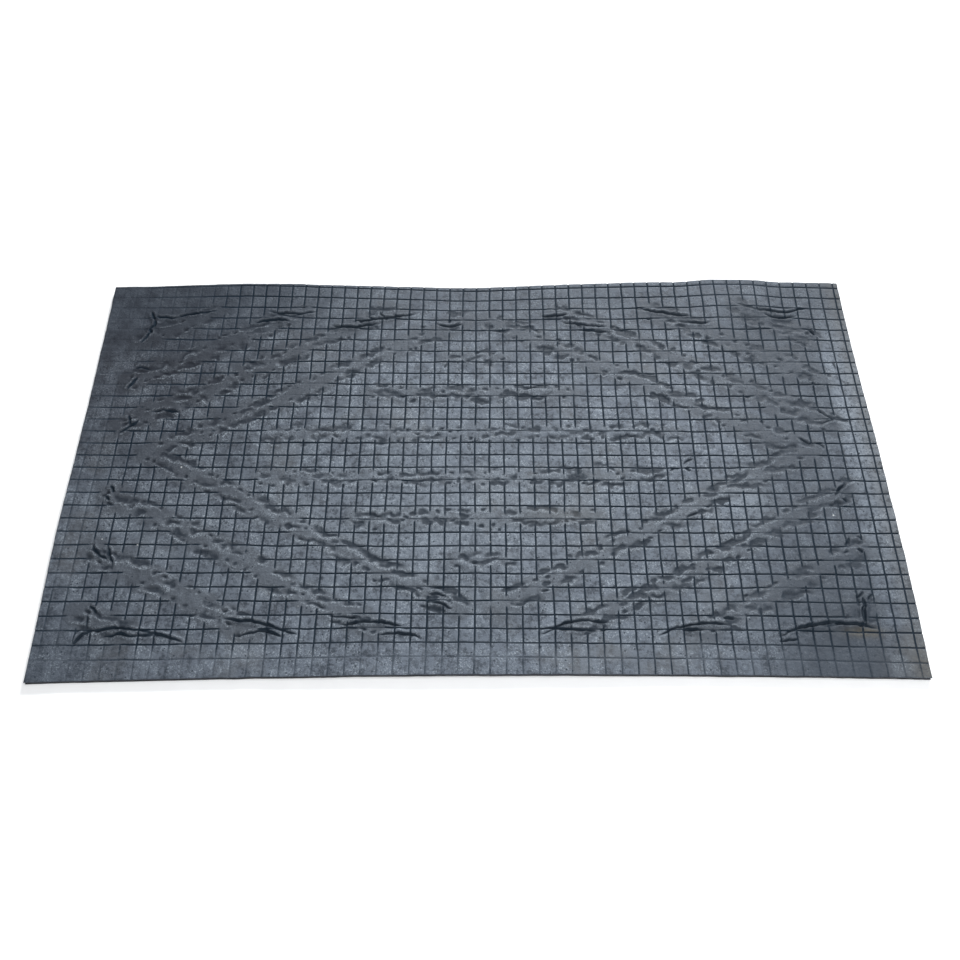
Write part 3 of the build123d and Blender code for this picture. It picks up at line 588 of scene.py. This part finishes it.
def ring_scuffs_and_highlight(x, y):
    """Lighter on the side of each ring that faces the middle, on the left half: partly scuffing, partly
    painted highlight.
    """
    ring_depth = np.abs(y - RING_MIDDLE) + RING_SLOPE * np.abs(x)
    on_left = smooth(0.0, -0.2, x) * (y > RING_MIDDLE - 0.12)
    lighter_side = np.zeros_like(x)
    for ring in range(RINGS):
        inside = (RING_REAR[0] + ring * RING_REAR[1] - ring_depth) / math.hypot(1, RING_SLOPE)
        lighter_side += 0.4 * bump(inside, 27 * MM, 11 * MM) * on_left
    return lighter_side


def groove_field(x, y, gap_x, gap_y, near, dent):
    """How deep the grooves are, from 0 to 1. They fade over the bands, the ones along Y more."""
    worn_left = smooth(-0.10, -0.40, x)
    worn_right = bump(x, 0.43, 0.07) * bump(y, 0.08, 0.13)
    torn = near + layered(x, y, GROOVE_TORN)
    lost_y = 1 - smooth(0.28 + 0.27 * worn_left, 0.7 + 0.25 * worn_left, torn)
    lost_y = lost_y * (0.84 + 0.12 * worn_left)
    lost_x = 1 - smooth(0.2 + 0.15 * worn_left, 0.6 + 0.2 * worn_left, torn)
    lost_x = lost_x * np.maximum(0.6 + 0.38 * worn_left, 0.98 * worn_right)
    on_line_x = (gap_x < GROOVE_FLOOR * 1.1)[None, :]
    on_line_y = (gap_y < GROOVE_FLOOR * 1.1)[:, None]
    along_y = on_line_x * (1 - lost_y) * (1 - 0.35 * smooth(-0.2, -0.45, x))
    along_x = on_line_y * (1 - lost_x)
    fade = (1 - 0.8 * dent) * (1 - 0.62 * smooth(-0.25, -0.48, x) * smooth(-0.02, 0.22, y))
    fade = fade * (1 - 0.6 * smooth(-0.258, -0.288, y)) * (1 - 0.45 * smooth(-0.48, -0.53, x))
    fade = fade * (0.84 + layered(x, y, GROOVE_FADING))
    return np.clip(np.maximum(along_y, along_x) * fade, 0, 1)


# ------------------------------------------------------------------ surface of the skin


def moulded_grid(u, v):
    """The mesh stations as a grid that is a little turned and uneven, but straight at the cut edges."""
    uu, vv = np.meshgrid(u, v)
    hold_x = 1 - smooth(HALF_X - 9 * MM, HALF_X - EDGE_IN, np.abs(uu))
    hold_y = 1 - smooth(HALF_Y - 7 * MM, HALF_Y - EDGE_IN, np.abs(vv))
    x = uu + GRID_TURN * vv * hold_x
    y = vv - GRID_TURN * uu * hold_y
    wave_x = layered(x, y, WAVE_X) * MM
    wave_y = layered(x, y, WAVE_Y) * MM
    x = x + wave_x * hold_x * smooth(0, 20 * MM, HALF_X - np.abs(uu))
    y = y + wave_y * hold_y * smooth(0, 20 * MM, HALF_Y - np.abs(vv))
    return x, y


def skin_surface():
    """Flat positions, height and masks of the top skin on a grid that follows the grooves."""
    lines_x, lines_y = groove_lines()
    u = cut_line(-HALF_X, HALF_X, lines_x, PART_X, fine_x)
    v = cut_line(-HALF_Y, HALF_Y, lines_y, PART_Y, fine_y)
    gap_x, cell_x = nearest_line(u, lines_x)
    gap_y, cell_y = nearest_line(v, lines_y)
    x, y = moulded_grid(u, v)
    near, bands = band_fields(x, y, layered(x, y, BAND_RAGGED))
    dent = np.zeros_like(x)
    scuffs_and_highlight = np.zeros_like(x)
    slit = np.zeros_like(x)

    height = BAND_SWELL * (1 - smooth(0.45, 1.3, near))
    in_field_y = smooth(FIELD_Y + 12 * MM, FIELD_Y - 20 * MM, np.abs(y - PATTERN_Y))
    in_field_x = smooth(FIELD_X + 12 * MM, FIELD_X - 20 * MM, np.abs(x))
    height += FIELD_SWELL * in_field_y * in_field_x
    height += layered(x, y, SKIN_ROLL) * MM
    table = np.random.default_rng(TILE_SEED).normal(0, 1, (TILE_TABLE, TILE_TABLE))
    tile = table[cell_y[:, None] % TILE_TABLE, cell_x[None, :] % TILE_TABLE]
    height += TILE_SWELL * tile * (1 - bands)
    add_dents(x, y, height, dent, scuffs_and_highlight)
    add_folds(x, y, height, slit, dent)
    scuffs_and_highlight += ring_scuffs_and_highlight(x, y)
    groove = groove_field(x, y, gap_x, gap_y, near, dent)
    height -= GROOVE_DEEP * groove
    height = np.maximum(height, SLIT_FLOOR)

    # the skin rises over the gland
    beside = smooth(GLAND_HALF - 2 * MM, GLAND_HALF + 60 * MM, np.abs(x - HOOD_X))
    dome = (1 - beside) * smooth(gland_low[1] - 70 * MM, gland_low[1] + 4 * MM, y)
    height = height * (1 - 0.7 * dome) + (gland_high[2] - Z_SKIN + DOME_RISE) * dome
    over_gland = (np.abs(x - HOOD_X) < GLAND_HALF + 1.3 * MM) & (y > gland_low[1] - 1 * MM)
    under = np.where(over_gland, gland_high[2] + COVER_GAP, Z_COVER)

    relief = np.clip((height - blur(height, SOFT_STEPS)) / RELIEF_FULL, -1, 1)
    looks = {
        "groove": groove, "bands": bands, "scuffs_and_highlight": np.clip(scuffs_and_highlight, 0, 1), "relief": relief,
        "dent": dent, "slit": slit, "tile": 0.5 + 0.2 * np.clip(tile, -2, 2),
        "earth": settled_earth(x, y), "shade_and_darkening": shade_and_darkening(x, y), "frost": frost(x, y),
    }
    return x, y, height, under, looks


# ------------------------------------------------------------------ meshes


def link_mesh(name, points, faces, smooth_shading=True):
    """A new piece in the scene."""
    mesh = bpy.data.meshes.new(name)
    mesh.from_pydata(points, [], faces)
    mesh.update()
    if smooth_shading:
        mesh.shade_smooth()
    piece = bpy.data.objects.new(name, mesh)
    bpy.context.scene.collection.objects.link(piece)
    return piece


def boundary(rows, columns):
    """Grid indices once round the edge, anticlockwise seen from above (row 0 is the front)."""
    front = [(0, i) for i in range(columns - 1)]
    right = [(j, columns - 1) for j in range(rows - 1)]
    rear = [(rows - 1, i) for i in range(columns - 1, 0, -1)]
    left = [(j, 0) for j in range(rows - 1, 0, -1)]
    return front + right + rear + left


def laid_points(x, y, z):
    """Points of the flat mat as a list of where they really lie."""
    return np.stack(lay(x, y, z), axis=-1).reshape(-1, 3).tolist()


def grid_faces(index):
    """Four-sided faces between the points of a grid. They look up, or down if it is transposed."""
    corners = [index[:-1, :-1], index[:-1, 1:], index[1:, 1:], index[1:, :-1]]
    return np.stack(corners, axis=-1).reshape(-1, 4).tolist()


def add_ring(points, faces, previous, ring):
    """Add a ring of flat points, joined all round to the ring before it. Gives its point numbers."""
    ring = np.array(ring)
    current = list(range(len(points), len(points) + len(ring)))
    points += laid_points(ring[:, 0], ring[:, 1], ring[:, 2])
    join_rings(faces, previous, current)
    return current


def join_rings(faces, upper, lower):
    """Add a band of faces between two rings of point numbers."""
    for k in range(len(upper)):
        n = (k + 1) % len(upper)
        faces.append((upper[k], lower[k], lower[n], upper[n]))


def make_skin():
    x, y, height, under, looks = skin_surface()
    rows, columns = x.shape
    index = np.arange(rows * columns).reshape(rows, columns)
    points = laid_points(x, y, Z_SKIN + height)
    faces = grid_faces(index)

    # rounded rim and cut side, ring by ring, down to the underside of the skin
    loop = boundary(rows, columns)
    previous = [int(index[j, i]) for j, i in loop]
    for out, datum, rise in RIM_STEPS:
        ring = []
        for j, i in loop:
            out_x = -1 if i == 0 else 1 if i == columns - 1 else 0
            out_y = -1 if j == 0 else 1 if j == rows - 1 else 0
            level = Z_SKIN + height[j, i] if datum == "top" else under[j, i]
            ring.append((
                x[j, i] + out_x * out * MM, y[j, i] + out_y * out * MM, level + rise * MM,
            ))
        previous = add_ring(points, faces, previous, ring)

    # coarse underside, with its outer cells taking every point of the last ring
    on_ring = {spot: previous[k] for k, spot in enumerate(loop)}
    keep_j = sorted({*range(0, rows, UNDER_STEP), rows - 1})
    keep_i = sorted({*range(0, columns, UNDER_STEP), columns - 1})
    lower = {}
    for j in keep_j:
        for i in keep_i:
            if (j, i) in on_ring:
                lower[j, i] = on_ring[j, i]
                continue
            px, py, pz = lay(x[j, i], y[j, i], under[j, i])
            lower[j, i] = len(points)
            points.append((float(px), float(py), float(pz)))
    for a, b in zip(keep_j[:-1], keep_j[1:]):
        for c, d in zip(keep_i[:-1], keep_i[1:]):
            front = [(a, i) for i in range(c, d)] if a == 0 else [(a, c)]
            right = [(j, d) for j in range(a, b)] if d == columns - 1 else [(a, d)]
            rear = [(b, i) for i in range(d, c, -1)] if b == rows - 1 else [(b, d)]
            left = [(j, c) for j in range(b, a, -1)] if c == 0 else [(b, c)]
            ring = front + right + rear + left
            face = [on_ring.get(spot, lower.get(spot)) for spot in ring]
            faces.append(tuple(reversed(face)))

    skin = link_mesh("top_cover_skin", points, faces)
    total = len(points)
    for title, field in looks.items():
        layer = skin.data.attributes.new(title, "FLOAT", "POINT")
        # the rim and cut side points get painted shade through this mask
        values = np.full(total, CUT_SIDE_DARK if title == "shade_and_darkening" else 0.0, dtype=np.float32)
        values[: rows * columns] = field.reshape(-1)
        layer.data.foreach_set("value", values)
    return skin


# ------------------------------------------------------------------ border strips and base sheet

SLAB_STEP = 9 * MM
SLAB_SIDE = ((0.12, 0.75), (0.5, 1.0), (0.88, 0.75))   # share of the depth, and bulge of each ring
BASE_INSET = 0.5 * MM
STRIP_BACK = 0.9 * MM       # the strips end this far inside the cut edge
STRIP_HOLLOW = -0.3 * MM    # and their sides are this hollow
STRIPS = {                  # which of left, right, front and rear are outside edges of the mat
    "border_strip_front": (1, 1, 1, 0),
    "border_strip_left": (1, 0, 0, 0),
    "border_strip_right": (0, 1, 0, 0),
    "border_strip_rear_long": (1, 0, 0, 1),
    "border_strip_rear_short": (0, 1, 0, 1),
}


def make_slab(name, low, high, z_low, z_high, bulge, free_sides):
    """A sheet or strip of rubber that lies as the mat lies, with its free sides bulging outwards.

    free_sides says which of left, right, front and rear are outside edges of the mat.
    """
    count_x = max(2, int((high[0] - low[0]) / SLAB_STEP))
    count_y = max(2, int((high[1] - low[1]) / SLAB_STEP))
    u = np.linspace(low[0], high[0], count_x + 1)
    v = np.linspace(low[1], high[1], count_y + 1)
    x, y = np.meshgrid(u, v)
    rows, columns = x.shape
    index = np.arange(rows * columns).reshape(rows, columns)
    left, right, front, rear = free_sides
    points = laid_points(x, y, np.full_like(x, z_high))
    faces = grid_faces(index)
    bottom = len(points)
    points += laid_points(x, y, np.full_like(x, z_low))
    faces += grid_faces(bottom + index.T)
    loop = boundary(rows, columns)
    previous = [int(index[j, i]) for j, i in loop]
    for share, out in SLAB_SIDE:
        ring = []
        for j, i in loop:
            out_x = -left if i == 0 else right if i == columns - 1 else 0
            out_y = -front if j == 0 else rear if j == rows - 1 else 0
            z = z_high - (z_high - z_low) * share
            ring.append((x[j, i] + out_x * out * bulge, y[j, i] + out_y * out * bulge, z))
        previous = add_ring(points, faces, previous, ring)
    join_rings(faces, previous, [bottom + int(index[j, i]) for j, i in loop])
    return link_mesh(name, points, faces)


def make_base():
    low = (base_low[0] + BASE_INSET, base_low[1] + BASE_INSET)
    high = (base_high[0] - BASE_INSET, base_high[1] - BASE_INSET)
    return make_slab("base_sheet_skin", low, high, 0.0, Z_BASE, BASE_INSET, (1, 1, 1, 1))


def make_strips():
    pieces = []
    for node, free_sides in STRIPS.items():
        left, right, front, rear = free_sides
        node_low, node_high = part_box(node)
        low = (node_low[0] + STRIP_BACK * left, node_low[1] + STRIP_BACK * front)
        high = (node_high[0] - STRIP_BACK * right, node_high[1] - STRIP_BACK * rear)
        strip = make_slab(node + "_edge", low, high, Z_BASE, Z_COVER, STRIP_HOLLOW, free_sides)
        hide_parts(node)
        pieces.append(strip)
    return pieces


# ------------------------------------------------------------------ materials


class Paint:
    """A short way to write a node material."""

    def __init__(self, name):
        self.material = bpy.data.materials.new(name)
        self.material.use_nodes = True
        self.tree = self.material.node_tree
        self.shader = self.tree.nodes["Principled BSDF"]
        self.place = self.add("ShaderNodeTexCoord").outputs["Object"]

    def add(self, kind, **settings):
        node = self.tree.nodes.new(kind)
        for key, value in settings.items():
            setattr(node, key, value)
        return node

    def join(self, source, target):
        self.tree.links.new(source, target)

    def feed(self, socket, value):
        """Set a socket to a number or a colour, or link another socket to it."""
        if isinstance(value, (int, float)):
            socket.default_value = value
        elif isinstance(value, tuple):
            socket.default_value = (*value, 1.0)
        else:
            self.join(value, socket)

    def noise(self, scale, detail=3.0, rough=0.55, stretch=None):
        node = self.add("ShaderNodeTexNoise")
        node.inputs["Scale"].default_value = scale
        node.inputs["Detail"].default_value = detail
        node.inputs["Roughness"].default_value = rough
        if stretch:
            mapping = self.add("ShaderNodeMapping")
            mapping.inputs["Scale"].default_value = stretch
            self.join(self.place, mapping.inputs["Vector"])
            self.join(mapping.outputs["Vector"], node.inputs["Vector"])
        else:
            self.join(self.place, node.inputs["Vector"])
        return node.outputs["Fac"]

    def cells(self, scale):
        node = self.add("ShaderNodeTexVoronoi", feature="F1")
        node.inputs["Scale"].default_value = scale
        self.join(self.place, node.inputs["Vector"])
        return node.outputs["Distance"]

    def ramp(self, value, low, high, from_value=0.0, to_value=1.0):
        node = self.add("ShaderNodeMapRange", interpolation_type="SMOOTHSTEP")
        self.join(value, node.inputs["Value"])
        node.inputs["From Min"].default_value = low
        node.inputs["From Max"].default_value = high
        node.inputs["To Min"].default_value = from_value
        node.inputs["To Max"].default_value = to_value
        return node.outputs["Result"]

    def maths(self, operation, first, second=0.0):
        node = self.add("ShaderNodeMath", operation=operation)
        self.feed(node.inputs[0], first)
        self.feed(node.inputs[1], second)
        return node.outputs["Value"]

    def times(self, first, second):
        return self.maths("MULTIPLY", first, second)

    def mix(self, factor, first, second):
        """A colour between two, by a factor. The colour sockets of this node go by number."""
        node = self.add("ShaderNodeMix", data_type="RGBA")
        self.feed(node.inputs[0], factor)
        self.feed(node.inputs[6], first)
        self.feed(node.inputs[7], second)
        return node.outputs[2]

    def ragged(self, value, grain, reach, low, high):
        """A soft mask turned into a crisp one whose edge follows a noise."""
        offset = self.times(self.maths("SUBTRACT", grain, 0.5), reach)
        return self.ramp(self.maths("ADD", value, offset), low, high)

    def attribute(self, name):
        node = self.add("ShaderNodeAttribute", attribute_name=name)
        return node.outputs["Fac"]

    def axis(self, name):
        node = self.add("ShaderNodeSeparateXYZ")
        self.join(self.place, node.inputs["Vector"])
        return node.outputs[name]

    def bumps(self, layers):
        """layers of (height socket, strength, distance in metres)."""
        normal = None
        for height, strength, distance in layers:
            node = self.add("ShaderNodeBump")
            node.inputs["Strength"].default_value = strength
            node.inputs["Distance"].default_value = distance
            self.join(height, node.inputs["Height"])
            if normal is not None:
                self.join(normal, node.inputs["Normal"])
            normal = node.outputs["Normal"]
        self.join(normal, self.shader.inputs["Normal"])


DEEP_BLUE = (0.026, 0.034, 0.046)
BODY_BLUE = (0.085, 0.101, 0.126)
BODY_LIGHT = (0.128, 0.152, 0.185)
BAND_BLUE = (0.056, 0.066, 0.080)
DENT_BLUE = (0.011, 0.018, 0.028)
BODY_GREY = (0.088, 0.094, 0.100)
SCUFF_AND_HIGHLIGHT = (0.27, 0.31, 0.35)
HOLLOW = (0.012, 0.019, 0.029)
SHADE_LEFT = (0.015, 0.016, 0.021)
EARTH = (0.088, 0.078, 0.058)
PALE_SPECK = (0.45, 0.47, 0.47)
GROOVE_SHADE = (0.005, 0.012, 0.021)
EDGE_DARK = (0.012, 0.013, 0.016)
EDGE_LIGHT = (0.032, 0.035, 0.041)
EDGE_DUST = (0.10, 0.10, 0.095)
FLOOR_DARK = (0.86, 0.86, 0.86)
FLOOR_LIGHT = (0.88, 0.88, 0.88)
# noise scales, in features to the metre
CLOUDS = 9.0
PATCHES = 48.0
MOTTLE = 170.0
SPECKLE = 430.0
PINHOLES = 125.0
LOOSE_SPECKS = 24.0


def skin_material():
    """Satin blue-grey rubber: mottled tiles, scuffed high spots, painted shade in the grooves, folds,
    dents and hollows, at the rear and on the left, and lips and ring sides made lighter, partly scuffing
    and partly painted highlight.
    """
    p = Paint("grooved_rubber")
    bands = p.attribute("bands")
    scuffs_and_highlight = p.attribute("scuffs_and_highlight")
    relief = p.attribute("relief")
    dent = p.attribute("dent")
    groove = p.attribute("groove")
    slit = p.attribute("slit")
    across = p.axis("X")
    depth = p.axis("Y")

    # mottled body, a little different from tile to tile
    clouds = p.noise(CLOUDS, 4.0, 0.6)
    patches = p.noise(PATCHES, 3.0, 0.6)
    mottle = p.noise(MOTTLE, 4.0, 0.75)
    speckle = p.noise(SPECKLE, 3.0, 0.8)
    colour = p.mix(p.ramp(mottle, 0.38, 0.58), DEEP_BLUE, BODY_BLUE)
    colour = p.mix(p.times(p.ramp(clouds, 0.52, 0.66), 0.5), colour, BODY_GREY)
    colour = p.mix(p.times(p.ramp(p.attribute("tile"), 0.2, 0.9), 0.45), colour, BODY_LIGHT)
    lighter = p.times(p.ramp(patches, 0.42, 0.72), p.ramp(clouds, 0.25, 0.7, 0.25, 1.0))
    colour = p.mix(p.times(lighter, 0.55), colour, BODY_LIGHT)
    # the skin over the ribbons is smoother and darker
    colour = p.mix(p.times(bands, 0.72), colour, BAND_BLUE)
    # light scuff marks, mostly between the bands; the raised lips of the dents and the ring sides are
    # made lighter, partly scuffing and partly painted highlight
    scuff = p.times(p.ramp(speckle, 0.52, 0.62), p.ramp(patches, 0.38, 0.64))
    scuff = p.times(scuff, p.maths("SUBTRACT", 1.0, p.times(bands, 0.66)))
    colour = p.mix(p.times(scuff, 0.7), colour, SCUFF_AND_HIGHLIGHT)
    frosted = p.times(p.attribute("frost"), p.ramp(mottle, 0.36, 0.60))
    colour = p.mix(p.times(frosted, 0.38), colour, SCUFF_AND_HIGHLIGHT)
    rubbed_and_highlight = p.maths("ADD", p.ramp(relief, 0.25, 1.0, 0.0, 0.6), scuffs_and_highlight)
    rubbed_and_highlight = p.times(rubbed_and_highlight, p.ramp(speckle, 0.47, 0.57))
    colour = p.mix(p.times(rubbed_and_highlight, 0.6), colour, SCUFF_AND_HIGHLIGHT)
    # painted shade in the dents and beside the folds
    hollow = p.ragged(dent, mottle, 0.8, 0.14, 0.58)
    colour = p.mix(p.times(hollow, 0.94), colour, DENT_BLUE)
    # painted shade where the skin lies below its surroundings
    colour = p.mix(p.times(p.ramp(relief, -0.3, -1.0), 0.45), colour, HOLLOW)
    pins = p.times(p.ramp(p.cells(PINHOLES), 0.19, 0.10), p.ramp(patches, 0.42, 0.48))
    colour = p.mix(p.times(pins, 0.9), colour, HOLLOW)
    # painted shade on the left and the far left corner, which are also rougher and less shiny
    left = p.ramp(across, -0.06, -0.50)
    rear = p.ramp(depth, -0.20, 0.26, 0.34, 1.0)
    dull_and_shaded = p.times(p.times(left, rear), p.ramp(patches, 0.2, 0.7, 1.0, 0.72))
    dull_and_shaded = p.times(dull_and_shaded, p.maths("SUBTRACT", 1.0, p.times(rubbed_and_highlight, 0.45)))
    colour = p.mix(p.times(dull_and_shaded, 0.95), colour, SHADE_LEFT)
    # painted shade at the rear and on the rim and cut sides; darker at the right ribbon ends and the
    # near corners
    colour = p.mix(p.times(p.attribute("shade_and_darkening"), 0.9), colour, DEEP_BLUE)
    earth = p.times(p.attribute("earth"), p.ramp(mottle, 0.3, 0.6, 0.45, 1.0))
    colour = p.mix(p.times(earth, 0.75), colour, EARTH)
    # painted shade in the grooves and the fold slits
    colour = p.mix(p.ragged(groove, speckle, 0.5, 0.12, 0.5), colour, GROOVE_SHADE)
    colour = p.mix(p.ragged(slit, speckle, 0.5, 0.12, 0.5), colour, GROOVE_SHADE)
    specks = p.times(p.ramp(p.cells(LOOSE_SPECKS), 0.036, 0.02), p.ramp(clouds, 0.52, 0.56))
    colour = p.mix(p.times(specks, 0.75), colour, PALE_SPECK)
    p.feed(p.shader.inputs["Base Color"], colour)
    rough = p.maths("ADD", p.ramp(mottle, 0.3, 0.7, 0.46, 0.66), p.times(groove, 0.3))
    rough = p.maths("ADD", rough, p.times(dull_and_shaded, 0.2))
    p.feed(p.shader.inputs["Roughness"], rough)
    p.feed(p.shader.inputs["Specular IOR Level"], p.ramp(dull_and_shaded, 0.0, 0.8, 0.24, 0.12))
    p.bumps([(speckle, 0.6, 0.0005), (mottle, 0.9, 0.0020)])
    return p.material


def edge_material():
    """Cut and pressed rubber edge: near black, with fine drag marks and dust."""
    p = Paint("pressed_rubber_edge")
    grain = p.noise(300.0, 4.0, 0.6, (1.0, 1.0, 6.0))
    dust = p.noise(40.0, 3.0, 0.6)
    colour = p.mix(p.ramp(grain, 0.35, 0.7), EDGE_DARK, EDGE_LIGHT)
    colour = p.mix(p.times(p.ramp(dust, 0.55, 0.75), 0.35), colour, EDGE_DUST)
    p.feed(p.shader.inputs["Base Color"], colour)
    p.feed(p.shader.inputs["Roughness"], p.ramp(grain, 0.3, 0.7, 0.6, 0.8))
    p.bumps([(grain, 0.5, 0.0004)])
    return p.material


def plain_material(name, dark, light, rough, metal=0.0, scale=400.0):
    """A mottled material for the pieces sealed inside, with grain at the scale of the real one."""
    p = Paint(name)
    grain = p.noise(scale, 3.0, 0.6)
    p.feed(p.shader.inputs["Base Color"], p.mix(p.ramp(grain, 0.3, 0.7), dark, light))
    p.feed(p.shader.inputs["Roughness"], p.ramp(grain, 0.3, 0.7, rough - 0.08, rough + 0.08))
    p.shader.inputs["Metallic"].default_value = metal
    p.bumps([(grain, 0.4, 0.0002)])
    return p.material


def slot_materials():
    return {
        "rubber_bush": plain_material("bush_rubber", (0.012, 0.012, 0.014), (0.03, 0.03, 0.033), 0.6),
        "foam": plain_material("foam", (0.05, 0.05, 0.055), (0.12, 0.12, 0.125), 0.85, scale=700.0),
        "foil": plain_material("foil", (0.62, 0.63, 0.65), (0.85, 0.86, 0.88), 0.28, 1.0, 60.0),
        "scrim": plain_material("scrim", (0.42, 0.40, 0.34), (0.66, 0.64, 0.56), 0.8, scale=900.0),
        "film": plain_material("film", (0.42, 0.25, 0.07), (0.55, 0.35, 0.12), 0.3, scale=50.0),
        "screen": plain_material("screen", (0.42, 0.43, 0.45), (0.68, 0.69, 0.71), 0.4, 1.0, 1200.0),
        "ribbon": plain_material("ribbon", (0.50, 0.47, 0.40), (0.72, 0.69, 0.62), 0.8, scale=800.0),
        "resistance_wire": plain_material("wire", (0.30, 0.29, 0.27), (0.50, 0.49, 0.46), 0.35, 1.0),
        "supply_wire": plain_material("braid", (0.50, 0.24, 0.12), (0.72, 0.42, 0.26), 0.4, 1.0, 900.0),
        "fuse": plain_material("phenolic", (0.015, 0.015, 0.017), (0.035, 0.034, 0.034), 0.4),
        "splice": plain_material("crimp", (0.50, 0.38, 0.16), (0.72, 0.58, 0.30), 0.35, 1.0),
        "gland": plain_material("nylon", (0.01, 0.01, 0.012), (0.026, 0.026, 0.029), 0.45, scale=600.0),
        "screw": plain_material("steel", (0.42, 0.42, 0.43), (0.62, 0.62, 0.63), 0.3, 1.0),
    }


def floor_material():
    """Plain pale floor with the faintest mottle."""
    p = Paint("studio_floor")
    grain = p.noise(30.0, 3.0, 0.5)
    p.feed(p.shader.inputs["Base Color"], p.mix(p.ramp(grain, 0.3, 0.7), FLOOR_DARK, FLOOR_LIGHT))
    p.shader.inputs["Roughness"].default_value = 0.9
    p.shader.inputs["Specular IOR Level"].default_value = 0.1
    return p.material


def wear_material(piece, material):
    piece.data.materials.clear()
    piece.data.materials.append(material)


# ------------------------------------------------------------------ build

skin = make_skin()
wear_material(skin, skin_material())
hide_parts("top_cover", "cord_hood")

base = make_base()
strips = make_strips()
edge = edge_material()
wear_material(base, edge)
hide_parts("base_sheet")
for strip in strips:
    wear_material(strip, edge)
for piece in [skin, base] + strips:
    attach(piece, "root")

by_slot = slot_materials()
for entry in frame["record"]["subparts"]:
    node = frame["nodes"][entry["node"]]
    material = by_slot.get(entry["material_slot"], edge)
    if node.data.materials:
        for k in range(len(node.data.materials)):
            node.data.materials[k] = material
    else:
        node.data.materials.append(material)

FLOOR_HALF = 12.0
FLOOR_DROP = 0.2 * MM       # keeps the floor clear of the mat's underside
signs = ((-1, -1), (1, -1), (1, 1), (-1, 1))
floor_corners = [(side_x * FLOOR_HALF, side_y * FLOOR_HALF, 0) for side_x, side_y in signs]
floor = link_mesh("floor", floor_corners, [(0, 1, 2, 3)], False)
floor.location.z = -FLOOR_DROP
wear_material(floor, floor_material())
